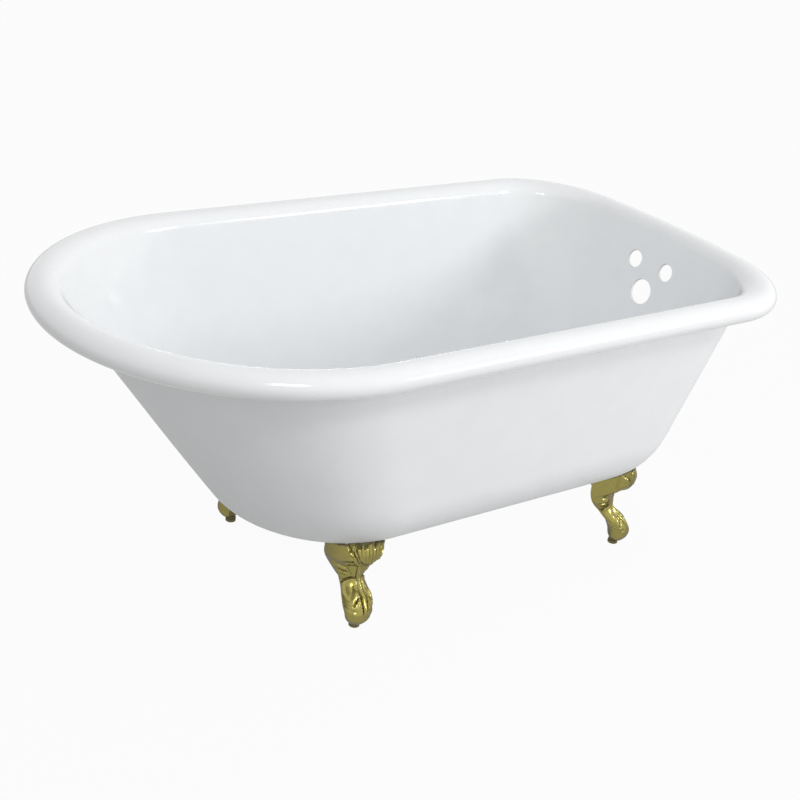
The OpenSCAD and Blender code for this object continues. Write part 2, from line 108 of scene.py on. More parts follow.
# %% [markdown]
# A shape that follows a rule is easiest to read as a formula. This function turns
# lines of text such as "r = a * sin(t)" into Math nodes, so the bath below can be
# one Geometry Nodes tree and still be read like a page of geometry. The tree has more
# than four hundred nodes, and each one written out would hide that.

# %% Formulas as nodes
SIGNS = {ast.Add: "ADD", ast.Sub: "SUBTRACT", ast.Mult: "MULTIPLY", ast.Div: "DIVIDE", ast.Pow: "POWER"}
CALLS = {"sin": "SINE", "cos": "COSINE", "tan": "TANGENT", "atan": "ARCTANGENT", "sqrt": "SQRT",
         "min": "MINIMUM", "max": "MAXIMUM", "floor": "FLOOR", "over": "GREATER_THAN", "abs": "ABSOLUTE"}


def formula(tree, text, known):
    def build(part):
        if isinstance(part, ast.Constant):
            return float(part.value)
        if isinstance(part, ast.Name):
            return known[part.id]
        if isinstance(part, ast.BinOp):
            kind, terms = SIGNS[type(part.op)], (part.left, part.right)
        else:
            kind, terms = CALLS[part.func.id], part.args
        return add_node(tree, "ShaderNodeMath", [build(term) for term in terms], operation=kind).outputs[0]

    for line in ast.parse(text).body:
        known[line.targets[0].id] = build(line.value)
    return known


print("formula words:", ", ".join(sorted(CALLS)))

# %% [markdown]
# A Geometry Nodes tree has named inputs for its sizes. It runs as a modifier on an
# empty mesh, and its result is copied to a plain mesh at once: a live modifier would
# be lost when the scene is exported, and a plain mesh can still be cut and joined.

# %% Trees and plain meshes
def new_tree(name, sizes):
    tree = bpy.data.node_groups.new(name, "GeometryNodeTree")
    tree.interface.new_socket("Geometry", in_out="OUTPUT", socket_type="NodeSocketGeometry")
    for label, value in sizes.items():
        socket = tree.interface.new_socket(label, in_out="INPUT", socket_type="NodeSocketFloat")
        socket.default_value = value
    start = add_node(tree, "NodeGroupInput")
    return tree, {label: start.outputs[label] for label in sizes}


def bake_tree(name, tree, sizes, materials):
    """Runs the tree on an empty mesh and keeps the result as a plain mesh object."""
    carrier = bpy.data.objects.new(name + "_tree", bpy.data.meshes.new(name))
    bpy.context.collection.objects.link(carrier)
    modifier = carrier.modifiers.new("nodes", "NODES")
    modifier.node_group = tree
    for item in tree.interface.items_tree:
        if item.in_out == "INPUT" and item.name in sizes:
            modifier[item.identifier] = float(sizes[item.name])
    seen = carrier.evaluated_get(bpy.context.evaluated_depsgraph_get())
    mesh = bpy.data.meshes.new_from_object(seen)
    bpy.data.objects.remove(carrier)
    mesh.name = name
    for material in materials:
        if material.name not in mesh.materials:
            mesh.materials.append(material)
    piece = bpy.data.objects.new(name, mesh)
    bpy.context.collection.objects.link(piece)
    return piece


print("trees so far:", len(bpy.data.node_groups))

# %% [markdown]
# Porcelain enamel is glass fused to iron: a powder is sifted on the red-hot bath and
# melts. It is bright, hard and wet-looking, and the glass has flowed a little, so long
# reflections waver. A smooth shader alone looks like plastic, so two noises bend the
# surface, one long for the flow and one fine for the orange peel.

# %% Enamel
def material(name):
    made = bpy.data.materials.new(name)
    made.use_nodes = True
    made.node_tree.nodes.clear()
    return made, made.node_tree


def finish(tree, shader):
    add_node(tree, "ShaderNodeOutputMaterial", {"Surface": shader.outputs["BSDF"]})


def porcelain_enamel():
    """Fused glass: the eye gets a deep, wet white with crisp reflections that waver."""
    made, tree = material("porcelain_enamel")
    place = add_node(tree, "ShaderNodeTexCoord").outputs["Object"]
    # The melt sagged in waves about 42 mm long. Its orange peel is about 5 mm wide.
    flow = add_node(tree, "ShaderNodeTexNoise", {"Vector": place, "Scale": 1 / (42 * MM), "Detail": 2.0})
    peel = add_node(tree, "ShaderNodeTexNoise", {"Vector": place, "Scale": 1 / (5 * MM), "Detail": 1.0})
    tint = add_node(tree, "ShaderNodeMix", {
        "Factor": flow.outputs["Fac"], "A": linear("#f0f2f4"), "B": linear("#f5f7f8")}, data_type="RGBA")
    waver = add_node(tree, "ShaderNodeBump", {
        "Strength": 0.55, "Distance": 1.1 * MM, "Height": flow.outputs["Fac"]})
    skin = add_node(tree, "ShaderNodeBump", {
        "Strength": 0.25, "Distance": 0.10 * MM, "Height": peel.outputs["Fac"],
        "Normal": waver.outputs["Normal"]})
    finish(tree, add_node(tree, "ShaderNodeBsdfPrincipled", {
        "Base Color": tint.outputs["Result"], "Roughness": 0.13, "IOR": 1.52,
        "Coat Weight": 0.6, "Coat Roughness": 0.04, "Normal": skin.outputs["Normal"]}))
    return made


ENAMEL = porcelain_enamel()
print("inside of the bath:", ENAMEL.name)

# %% [markdown]
# The outside of such a bath is painted: the same white, but satin, on the faintly
# lumpy skin that the sand of the mould leaves. The lumps could be modelled, but they
# are only half a millimetre high, and a bump shows them at no cost.

# %% Paint
def painted_iron():
    """Brushed satin paint on cast iron: the eye gets a soft sheen over faint lumps."""
    made, tree = material("satin_white_paint_on_cast_iron")
    place = add_node(tree, "ShaderNodeTexCoord").outputs["Object"]
    # Sand casting leaves lumps about 60 mm wide. The grain of sand and brush is really
    # 0.5 mm; it is drawn at 2.2 mm, because a finer one would not show in the picture.
    cast = add_node(tree, "ShaderNodeTexNoise", {"Vector": place, "Scale": 1 / (60 * MM), "Detail": 3.0})
    grain = add_node(tree, "ShaderNodeTexNoise", {"Vector": place, "Scale": 1 / (2.2 * MM), "Detail": 2.0})
    tint = add_node(tree, "ShaderNodeMix", {
        "Factor": cast.outputs["Fac"], "A": linear("#f1f3f5"), "B": linear("#f8f9fb")}, data_type="RGBA")
    lumps = add_node(tree, "ShaderNodeBump", {
        "Strength": 0.5, "Distance": 1.2 * MM, "Height": cast.outputs["Fac"]})
    skin = add_node(tree, "ShaderNodeBump", {
        "Strength": 0.35, "Distance": 0.12 * MM, "Height": grain.outputs["Fac"],
        "Normal": lumps.outputs["Normal"]})
    finish(tree, add_node(tree, "ShaderNodeBsdfPrincipled", {
        "Base Color": tint.outputs["Result"], "Roughness": 0.42, "IOR": 1.5,
        "Normal": skin.outputs["Normal"]}))
    return made


PAINT = painted_iron()
print("outside of the bath:", PAINT.name)

# %% [markdown]
# The feet are cast brass, polished on the raised parts and lacquered, so a clear coat lies over the metal.
# Polish and old metal stay in the hollows of the carving, and shade falls there too. Both are painted as one
# dark colour by a rule, which is quicker and truer than a brush: each foot carries an attribute "recess"
# that says how deep a spot lies, and the colour and the roughness follow it. The levellers are turned from
# the same brass, left dull.

# %% Brass
RECESS_ROUGHNESS = 0.55


def polished_brass(name, bright, dark, roughness):
    """Warm olive gold with soft, broad highlights, and brown shade in the hollows."""
    made, tree = material(name)
    place = add_node(tree, "ShaderNodeTexCoord").outputs["Object"]
    recess = add_node(tree, "ShaderNodeAttribute", attribute_name="recess").outputs["Fac"]
    # Tarnish comes in clouds of about 14 mm, and hand polishing leaves 8 mm waves. The dark specular tint
    # darkens the brass to olive at its grazing edges, as a painted dark reflection; the coat is the lacquer.
    cloud = add_node(tree, "ShaderNodeTexNoise", {"Vector": place, "Scale": 1 / (14 * MM), "Detail": 3.0})
    wave = add_node(tree, "ShaderNodeTexNoise", {"Vector": place, "Scale": 1 / (8 * MM), "Detail": 1.0})
    # Tarnish and painted shade: the recesses, broken into clouds, are painted towards the dark colour.
    tarnish_and_shade = add_node(tree, "ShaderNodeMath", (recess, cloud.outputs["Fac"]), operation="MULTIPLY")
    tarnish_and_shade = add_node(tree, "ShaderNodeMath", (tarnish_and_shade.outputs[0], 1.5), operation="MULTIPLY", use_clamp=True)
    colour = add_node(tree, "ShaderNodeMix", {
        "Factor": tarnish_and_shade.outputs[0], "A": linear(bright), "B": linear(dark)}, data_type="RGBA")
    rough = add_node(tree, "ShaderNodeMapRange", {
        "Value": tarnish_and_shade.outputs[0], "To Min": roughness, "To Max": RECESS_ROUGHNESS})
    bump = add_node(tree, "ShaderNodeBump", {
        "Strength": 0.3, "Distance": 0.15 * MM, "Height": wave.outputs["Fac"]})
    finish(tree, add_node(tree, "ShaderNodeBsdfPrincipled", {
        "Base Color": colour.outputs["Result"], "Metallic": 1.0, "Roughness": rough.outputs["Result"],
        "Specular Tint": linear("#4c4628"), "Coat Weight": 0.9, "Coat Roughness": 0.10,
        "Normal": bump.outputs["Normal"]}))
    return made


BRASS = polished_brass("lacquered_cast_brass", "#a0954a", "#231f0b", 0.23)
DULL_BRASS = polished_brass("dull_turned_brass", "#6e6534", "#2c2814", 0.34)
print("brasses:", BRASS.name, "and", DULL_BRASS.name)

# %% [markdown]
# The studs, nuts and washers are hidden up in the feet, so they are what a plumber
# would use: plain steel, zinc-plated against rust. Zinc grows in small crystals. A
# Voronoi pattern gives each its own shade of grey.

# %% Plated steel
def zinc_plate():
    """Barrel-plated zinc: a cool grey metal with faint spangles."""
    made, tree = material("zinc_plated_steel")
    place = add_node(tree, "ShaderNodeTexCoord").outputs["Object"]
    # The crystals are under 1 mm; they are drawn at 2.5 mm, so that they show at all.
    spangle = add_node(tree, "ShaderNodeTexVoronoi", {"Vector": place, "Scale": 1 / (2.5 * MM)})
    colour = add_node(tree, "ShaderNodeMix", {
        "Factor": spangle.outputs["Distance"], "A": linear("#b4b6b5"), "B": linear("#8f9294")},
        data_type="RGBA")
    finish(tree, add_node(tree, "ShaderNodeBsdfPrincipled", {
        "Base Color": colour.outputs["Result"], "Metallic": 1.0, "Roughness": 0.34}))
    return made


ZINC = zinc_plate()
print("fixings:", ZINC.name)

# %% [markdown]
# The bath is one skin of iron, 7 mm thick everywhere. It can be thought of as a
# stack of closed rings: over the inside of the floor, up the leaning walls, round
# the rolled rim, under the lip, and back down the outside. Each ring is a half
# ellipse at the head, straight sides, two elliptical corners and a bowed tap end.
# Lofting curves by hand would leave lumps, so a tube of vertices is moved to its
# place by formula. All sizes are inputs of the tree.

# %% Sizes of the bath
BATH = {
    "length": 1.4, "width": 0.762, "height": 0.584, "depth": 0.438, "wall": 0.007,
    "head_len": 0.410, "head_round": 0.55, "corner_x": 0.186, "corner_y": 0.209,
    "bow": math.radians(6.5), "narrow": 0.009, "end_half": 0.015,
    "head_lean": math.radians(37.6), "side_lean": math.radians(10.2), "tap_lean": math.radians(13.6),
    "head_fillet": 0.072, "side_fillet": 0.144, "tap_fillet": 0.085,
    "fall": 0.0045, "run": 0.663, "rim_w": 0.057, "rim_h": 0.046, "lip": math.radians(62),
}
AROUND = {"n_head": 62, "n_side": 34, "n_corner": 34, "n_end": 18}
ALONG = {"n_floor": 12, "n_fillet": 24, "n_wall": 22, "n_crown": 12, "n_roll": 26, "n_lip": 5}
ring_points = 2 * sum(AROUND.values())
ring_count = 2 * sum(ALONG.values()) + 1
print("the skin is", ring_count, "rings of", ring_points, "points")

# %% [markdown]
# The first formulas place a ring: which skin it is on, how high it lies, and how far
# each of the three walls stands in from the rim's outer edge there. The others give
# the ring's outline and the place of one vertex on it.

# %% Formulas of the bath
RING = """
ring = floor((index + 0.5) / around)
step = min(ring, rings - 1 - ring)
outside = over(ring, (rings - 1) / 2)
floor_s = min(1, step / n_floor)
fillet_s = min(1, max(0, step - n_floor) / n_fillet)
wall_s = min(1, max(0, step - n_floor - n_fillet) / n_wall)
crown_s = min(1, max(0, step - n_floor - n_fillet - n_wall) / n_crown)
roll_s = min(1, max(0, step - n_floor - n_fillet - n_wall - n_crown) / n_roll)
lip_s = min(1, max(0, step - n_floor - n_fillet - n_wall - n_crown - n_roll) / n_lip)
rim_a = rim_w / 2
rim_b = rim_h / 2
rim_z = height - rim_b
deep = wall * (outside + (0.5 - outside) * (1 - cos(quarter * lip_s)))
level = height - depth + wall - deep
a = rim_a - deep
b = rim_b - deep
turn = quarter - (quarter + lip) * roll_s - wall / rim_w * sin(quarter * lip_s)
low_z = level + (side_fillet - wall + deep) * (1 - cos(quarter * fillet_s))
wall_z = low_z + (rim_z - level - side_fillet + wall - deep) * wall_s
on_roll = over(roll_s, 0)
z = (1 - on_roll) * (wall_z + b * sin(quarter * crown_s)) + on_roll * (rim_z + b * sin(turn))
"""
WALL = """
r = fillet - wall + deep
h = z - level
touch = rim_z + b * b * sin(lean) / sqrt((a * cos(lean)) ** 2 + (b * sin(lean)) ** 2)
straight = rim_a + sqrt(a * a + (b * tan(lean)) ** 2) + (rim_z - z) * tan(lean)
start = r * (1 - sin(lean))
curve = straight + r * cos(lean) + (h - start) * tan(lean) - sqrt(max(0, r * r - (r - h) ** 2))
crown = rim_a + a * sqrt(max(0, 1 - ((z - rim_z) / b) ** 2))
high = over(z, touch)
low = over(start, h)
leaning = high * crown + (1 - high) * (low * curve + (1 - low) * straight)
inset = (1 - on_roll) * leaning + on_roll * (rim_a - a * cos(turn))
"""
OUTLINE = """
head = head_len - min(in_head, rim_a) - head_round * max(0, in_head - rim_a)
broad = width / 2 - in_side
slim = broad - narrow
end_x = length / 2 - in_tap
cx = corner_x - min(in_tap, rim_a)
cy = min(corner_y - min(in_side, rim_a), slim - end_half)
bend = atan(tan(bow) * cy / cx)
half = slim - cy + cy * sin(bend)
rise = half * tan(bow) / 2
head_x = in_head + head - length / 2
corner_at = end_x - rise - cx * cos(bend)
"""
VERTEX = """
place = index - around * ring
hand = 1 - 2 * over(place, around / 2)
k = min(place, around - place)
head_t = min(1, k / n_head) * quarter
side_t = min(1, max(0, k - n_head) / n_side)
corner_t = min(1, max(0, k - n_head - n_side) / n_corner)
end_t = 1 - min(1, max(0, k - n_head - n_side - n_corner) / n_end)
angle = quarter - (quarter - bend) * corner_t
past_head = over(k, n_head + 0.5)
past_side = over(k, n_head + n_side + 0.5)
past_corner = over(k, n_head + n_side + n_corner + 0.5)
x1 = (1 - past_head) * (head_x - head * cos(head_t))
x2 = (past_head - past_side) * (head_x + side_t * (corner_at - head_x))
x3 = (past_side - past_corner) * (corner_at + cx * cos(angle))
x4 = past_corner * (end_x - rise * end_t ** 2)
y1 = (1 - past_head) * broad * sin(head_t)
y2 = (past_head - past_side) * (broad + side_t * (slim - broad))
y3 = (past_side - past_corner) * (slim - cy + cy * sin(angle))
y4 = past_corner * half * end_t
middle = (head_x + corner_at) / 2
share = 0.01 + 0.99 * floor_s
x = middle + share * (x1 + x2 + x3 + x4 - middle)
y = hand * share * (y1 + y2 + y3 + y4)
z = z - fall * x / run * max(0, 1 - (z - level) / side_fillet)
"""

print("formulas for the bath:", sum(text.count(" = ") for text in (RING, WALL, OUTLINE, VERTEX)))

# %% [markdown]
# The tree itself is then short. A plain tube has the right number of points, Set
# Position sends each to its place, and Set Material gives the inner half of the rings
# enamel and the outer half paint.

# %% The bath's tree
def bath_tree():
    tree, known = new_tree("bath_skin", BATH)
    known.update(AROUND)
    known.update(ALONG)
    known.update(around=ring_points, rings=ring_count, quarter=math.pi / 2)
    known = {name: float(value) if isinstance(value, int) else value for name, value in known.items()}
    known["index"] = add_node(tree, "GeometryNodeInputIndex").outputs[0]
    formula(tree, RING, known)
    for wall in ("head", "side", "tap"):
        known["lean"], known["fillet"] = known[wall + "_lean"], known[wall + "_fillet"]
        known["in_" + wall] = formula(tree, WALL, known)["inset"]
    formula(tree, OUTLINE, known)
    formula(tree, VERTEX, known)
    tube = add_node(tree, "GeometryNodeMeshCylinder", {
        "Vertices": ring_points, "Side Segments": ring_count - 1})
    where = add_node(tree, "ShaderNodeCombineXYZ", (known["x"], known["y"], known["z"]))
    moved = add_node(tree, "GeometryNodeSetPosition", {
        "Geometry": tube.outputs["Mesh"], "Position": where.outputs[0]})
    inside = add_node(tree, "GeometryNodeSetMaterial", {"Geometry": moved.outputs[0], "Material": ENAMEL})
    back = add_node(tree, "ShaderNodeMath", (known["outside"], 0.5), operation="GREATER_THAN")
    both = add_node(tree, "GeometryNodeSetMaterial", {
        "Geometry": inside.outputs[0], "Selection": back.outputs[0], "Material": PAINT})
    whole = add_node(tree, "GeometryNodeRealizeInstances", {"Geometry": both.outputs[0]})
    add_node(tree, "NodeGroupOutput", {"Geometry": whole.outputs[0]})
    print("nodes in the bath's tree:", len(tree.nodes))
    return tree


BATH_TREE = bath_tree()

# %% [markdown]
# The skin that the tree gives is closed, so its volume tells two things: the weight
# of the iron, and by its sign whether the faces point outwards. Such a bath weighs
# about a hundred kilograms.

# %% The bath's skin
IRON_DENSITY = 7200


def volume(mesh):
    points = np.array([v.co[:] for v in mesh.vertices])
    mesh.calc_loop_triangles()
    corners = points[np.array([t.vertices[:] for t in mesh.loop_triangles])]
    return float(np.einsum("ij,ij->i", corners[:, 0], np.cross(corners[:, 1], corners[:, 2])).sum() / 6)


bath = bake_tree("bath_casting", BATH_TREE, BATH, (ENAMEL, PAINT))
if volume(bath.data) < 0:
    bath.data.flip_normals()
print("bath:", len(bath.data.vertices), "points,", round(volume(bath.data) * IRON_DENSITY, 1), "kg of iron")
print("bath box:", [[round(min(v.co[i] for v in bath.data.vertices), 4) for i in range(3)],
                    [round(max(v.co[i] for v in bath.data.vertices), 4) for i in range(3)]])

# %% [markdown]
# Round work, such as a cutter for a hole, a boss, a pad or a nut, is turned from a
# profile: pairs of radius and height. A radius or height may also be a list with one
# value for each direction, so the end of a turned piece can lie on a curved wall.
# With flats given, the same profile comes out six-sided, with chamfered corners.

# %% Turning
def turned(profile, place=Matrix(), sides=96, loop=False, flats=None):
    angle = np.arange(sides) * 2 * math.pi / sides
    rings = []
    for radius, height in profile:
        reach = np.broadcast_to(np.asarray(radius, float), (sides,))
        if flats:
            from_flat = (angle + math.pi / 6) % (math.pi / 3) - math.pi / 6
            reach = np.minimum(reach, flats / 2 / np.cos(from_flat))
        rings.append(np.stack([reach * np.cos(angle), reach * np.sin(angle),
                               np.broadcast_to(np.asarray(height, float), (sides,))], axis=1))
    points = np.concatenate(rings) @ np.array(place.to_3x3()).T + np.array(place.translation)
    count = len(rings)
    faces = [(a * sides + i, a * sides + (i + 1) % sides, b * sides + (i + 1) % sides, b * sides + i)
             for a in range(count if loop else count - 1) for b in [(a + 1) % count] for i in range(sides)]
    if not loop:
        faces += [tuple(range(sides))[::-1], tuple(range((count - 1) * sides, count * sides))]
    return points, faces


def outline_mm(*pairs):
    """A profile from pairs of radius and height in millimetres."""
    return [(radius * MM, height * MM) for radius, height in pairs]


def rounded(corner, size, start, end, steps=6):
    """Points of a rounded corner of a profile, between two directions in degrees."""
    angles = np.radians(np.linspace(start, end, steps + 1))
    return [(corner[0] + size * np.cos(a), corner[1] + size * np.sin(a)) for a in angles]


print("a turned test ring has", len(turned([(1, 0), (1, 1)])[0]), "points")

# %% [markdown]
# A piece is one mesh made of one or more closed solids. Its normals are recalculated
# to point outwards, and it is shaded smooth except at real edges, because a cast or
# turned surface has no flats.

# %% Pieces
def make_piece(name, solids, materials, slots=None, crease=35):
    points, faces, marks = [], [], []
    for number, (solid_points, solid_faces) in enumerate(solids):
        faces += [tuple(i + len(points) for i in face) for face in solid_faces]
        marks += [slots[number] if slots else 0] * len(solid_faces)
        points += [tuple(p) for p in solid_points]
    mesh = bpy.data.meshes.new(name)
    mesh.from_pydata(points, [], faces)
    mesh.polygons.foreach_set("material_index", marks)
    for made in materials:
        mesh.materials.append(made)
    shell = bmesh.new()
    shell.from_mesh(mesh)
    bmesh.ops.recalc_face_normals(shell, faces=shell.faces)
    shell.to_mesh(mesh)
    shell.free()
    mesh.shade_smooth()
    mesh.set_sharp_from_angle(angle=math.radians(crease))
    piece = bpy.data.objects.new(name, mesh)
    bpy.context.collection.objects.link(piece)
    return piece


print("meshes so far:", len(bpy.data.meshes))

# %% [markdown]
# Holes are cut with a Boolean modifier, as a drill would do it, and the result is kept
# as a plain mesh. Building each hole into the mesh by hand would give neater faces,
# but on a doubly curved wall that takes far longer and looks the same.

# %% Cutting
def cut(piece, solids):
    """Cuts closed solids out of a piece, and leaves a plain mesh."""
    cutter = make_piece("cutter", solids, [])
    modifier = piece.modifiers.new("cut", "BOOLEAN")
    modifier.object, modifier.operation, modifier.solver = cutter, "DIFFERENCE", "EXACT"
    seen = piece.evaluated_get(bpy.context.evaluated_depsgraph_get())
    mesh = bpy.data.meshes.new_from_object(seen)
    piece.modifiers.clear()
    piece.data = mesh
    bpy.data.objects.remove(cutter)
    mesh.shade_smooth()
    mesh.set_sharp_from_angle(angle=math.radians(35))


def skin_tree(piece):
    corners = [v.co for v in piece.data.vertices]
    return BVHTree.FromPolygons(corners, [p.vertices[:] for p in piece.data.polygons])


skins = skin_tree(bath)
print("faces to cut or to shoot rays at:", len(bath.data.polygons))

# %% [markdown]
# The bath has two tap holes and an overflow hole in the tap wall, and a waste hole
# with a sunken seat in the floor. Enamel never holds on a sharp edge, so every hole
# is rounded. Each cutter is turned like a bobbin: its flared ends are fitted to the
# two skins by rays, because the wall is bowed and the hole is straight.

# %% Sizes and cutters of the holes
# Two taps at the usual 3-3/8 inches, a two-inch overflow face, a one-and-a-half-inch
# waste. A cutter reaches 20 mm beyond the wall, so that it cuts right through.
TAP_HOLE_R, TAP_HOLES_APART, TAP_LEVEL = 17.5 * MM, 85.7 * MM, 0.504
OVERFLOW_R, OVERFLOW_DOWN = 25.5 * MM, 56 * MM
WASTE_X, WASTE_R, WASTE_EDGE = 0.370, 24 * MM, 1.0 * MM
SEAT_R, SEAT_DEEP, SEAT_CORNER = 38 * MM, 2.5 * MM, 0.8 * MM
EDGE, BEYOND = 1.6 * MM, 20 * MM
TAP_LEAN = BATH["tap_lean"]
INTO_BASIN = Vector((-math.cos(TAP_LEAN), 0, math.sin(TAP_LEAN)))


def facing(centre, axis):
    """A place whose third axis points along the given one."""
    return Matrix.Translation(centre) @ axis.to_track_quat("Z", "Y").to_matrix().to_4x4()


def skin_heights(place, radius, sides=96):
    """Heights of the inner and the outer skin along a hole's axis, all round it."""
    found = []
    for i in range(sides):
        angle = 2 * math.pi * i / sides
        spot = Vector((radius * math.cos(angle), radius * math.sin(angle), 0))
        pair = []
        for start in (40 * MM, -40 * MM):
            source = place @ (spot + Vector((0, 0, start)))
            hit = skins.ray_cast(source, place.to_3x3() @ Vector((0, 0, -start)).normalized())[0]
            pair.append((place.inverted() @ hit).z)
        found.append(pair)
    return np.array(found).T


def bobbin(centre, axis, radius):
    place = facing(centre, axis)
    inner, outer = skin_heights(place, radius + EDGE)
    middle = radius + EDGE
    profile = [(middle - 0.2 * EDGE, inner + BEYOND)]
    profile += [(r, inner + h) for r, h in rounded((middle, -EDGE), EDGE, 102, 180)]
    profile += [(r, outer + h) for r, h in rounded((middle, EDGE), EDGE, 180, 258)]
    profile += [(middle - 0.2 * EDGE, outer - BEYOND)]
    return turned(profile, place)


def on_tap_wall(y, down):
    """The enamelled face of the tap wall, a distance down the slope from the tap holes."""
    level = Vector((0.45, y, TAP_LEVEL - down * math.cos(TAP_LEAN)))
    hit = skins.ray_cast(level, Vector((1, 0, 0)))[0]
    return Vector((hit.x, y, level.z))


print("the tap wall leans by", round(math.degrees(TAP_LEAN), 1), "degrees")

# %% [markdown]
# The waste hole has a seat: a flat step, 2.5 mm deep, that a brass flange lies in, so
# that the last water runs out. Its cutter is turned in one piece with the hole's.

# %% Holes
tap_holes = [on_tap_wall(side * TAP_HOLES_APART / 2, 0) for side in (-1, 1)]
overflow_hole = on_tap_wall(0, OVERFLOW_DOWN)
waste_hole = skins.ray_cast(Vector((WASTE_X, 0, 0.4)), Vector((0, 0, -1)))[0]
seat_place = facing(waste_hole, Vector((0, 0, 1)))
seat_skin = skin_heights(seat_place, SEAT_R + EDGE)[0]
waste_profile = [(SEAT_R + 0.75 * EDGE, seat_skin + BEYOND)]
waste_profile += [(r, seat_skin + h) for r, h in rounded((SEAT_R + EDGE, -EDGE), EDGE, 102, 180)]
waste_profile += rounded((SEAT_R - SEAT_CORNER, SEAT_CORNER - SEAT_DEEP), SEAT_CORNER, 0, -90)
waste_profile += rounded((WASTE_R + WASTE_EDGE, -SEAT_DEEP - WASTE_EDGE), WASTE_EDGE, 90, 180)
waste_profile += [(WASTE_R, -1.5 * BEYOND)]
cut(bath, [bobbin(spot, INTO_BASIN, TAP_HOLE_R) for spot in tap_holes]
    + [bobbin(overflow_hole, INTO_BASIN, OVERFLOW_R), turned(waste_profile, seat_place)])
print("tap holes at", [[round(v, 4) for v in spot] for spot in tap_holes])
print("waste hole at height", round(waste_hole.z, 4))

# %% [markdown]
# The feet stand near the corners, where the bath is strong, and face outwards. Only
# those on the right-hand side are placed. The left-hand ones are their mirror images,
# as the founder's patterns were.

# %% Where the feet stand
# Where each foot's axis meets the floor, and how far the foot turns from the bath's
# length. The stud stands 32 mm behind that axis, under the flatter part of the bath.
FOOT_AT = {"head": (-0.188, -0.2045, math.radians(104)), "tap": (0.469, -0.1865, math.radians(42.5))}
STUD_BACK = -32.0


def foot_place(foot):
    """The foot's own axes on the right-hand side of the bath, with its first axis outwards."""
    end, side = foot.split("_")
    x, y, turn = FOOT_AT[end]
    place = Matrix.Translation((x, y, 0)) @ Matrix.Rotation(-turn, 4, "Z")
    return Matrix.Diagonal((1, -1, 1, 1)) @ place if side == "left" else place


def stud_place(foot):
    return foot_place(foot) @ Matrix.Translation((STUD_BACK * MM, 0, 0))


for foot in FEET:
    print(foot, "stands at", [round(v, 3) for v in foot_place(foot).translation[:2]])

# %% [markdown]
# Under the bath sit five round bosses, cast in one with it: a collar under the waste
# seat, and one for the stud of each foot. Iron is poured, so each boss runs into the
# skin with a fillet. Its top ring is found by rays and ends inside the wall, so no
# Boolean is needed to join it.

# %% Bosses under the bath
BOSS_R, BOSS_BASE, STUD_HOLE_R, STUD_HOLE_TOP = 17 * MM, 139 * MM, 5.05 * MM, 151.2 * MM
COLLAR_R, COLLAR_BASE, COLLAR_TOP = 43 * MM, 138.5 * MM, 146 * MM


def underside(x, y):
    return skins.ray_cast(Vector((x, y, 0)), Vector((0, 0, 1)))[0].z


def boss(place, radius, base, hole, hole_top, fillet=5 * MM, root=3 * MM, sides=96):
    def skin_at(reach):
        spots = [place @ Vector((reach * math.cos(a), reach * math.sin(a), 0))
                 for a in np.arange(sides) * 2 * math.pi / sides]
        return np.array([underside(p.x, p.y) - place.translation.z for p in spots])

    outline = [(hole, hole_top), (hole, base)] + rounded((radius - EDGE, base + EDGE), EDGE, -90, 0)
    for step in np.linspace(0, 1, 6):
        reach = radius + fillet * (1 - math.cos(step * math.pi / 2))
        outline.append((reach, skin_at(reach) - fillet * (1 - math.sin(step * math.pi / 2))))
    outline.append((radius + fillet, skin_at(radius + fillet) + root))
    outline.append((hole, skin_at(hole) + root))
    return turned(outline, place, sides=sides, loop=True)


bosses = [boss(stud_place(foot), BOSS_R, BOSS_BASE, STUD_HOLE_R, STUD_HOLE_TOP) for foot in FEET]
bosses.append(boss(Matrix.Translation((waste_hole.x, 0, 0)), COLLAR_R, COLLAR_BASE, WASTE_R, COLLAR_TOP))
castings = make_piece("bosses", bosses, [ENAMEL, PAINT], [1] * len(bosses))
both = bmesh.new()
both.from_mesh(bath.data)
both.from_mesh(castings.data)
both.to_mesh(bath.data)
both.free()
bpy.data.objects.remove(castings)
bath.name = bath.data.name = "enamelled_bath"
print("bath with its bosses:", len(bath.data.polygons), "faces")

# %% [markdown]
# The foot is where the carver's work shows. It starts as a smooth body: at every
# height a section that is a full round in the claw and a hollow U in the leg and the
# knee. It could be sculpted by hand, but then it could not be corrected by a number:
# here front, back and half width each follow one line of formulas, in millimetres.

# %% Body of a foot
# Heights over the floor, distances outwards from the foot's axis, and half widths, all
# read off the photo. CHEEK below 1 squares the round of the leg a little.
SOLE, BALL_Z, BALL_R, BALL_OUT, CLAW_HALF = 9.95, 26.275, 19.25, 5.0, 24.0
ANKLE_Z, ANKLE_SET, ANKLE_HALF = 102.93, 17.0, 21.0
TOP_Z, KNEE_FRONT, KNEE_BACK, KNEE_HALF, KNEE_RISE = 146.0, 21.0, 66.5, 45.5, 27.0
BEAK_LOW, BEAK_RUN, BEAK_POWER, BEAK_SHARE = 0.20, 0.35, 3.5, 0.86
CHEEK, THICK, FLUTE = 0.82, 5.5, 2.2


def ease(z, low, high):
    t = np.clip((z - low) / (high - low), 0, 1)
    return t * t * (3 - 2 * t)


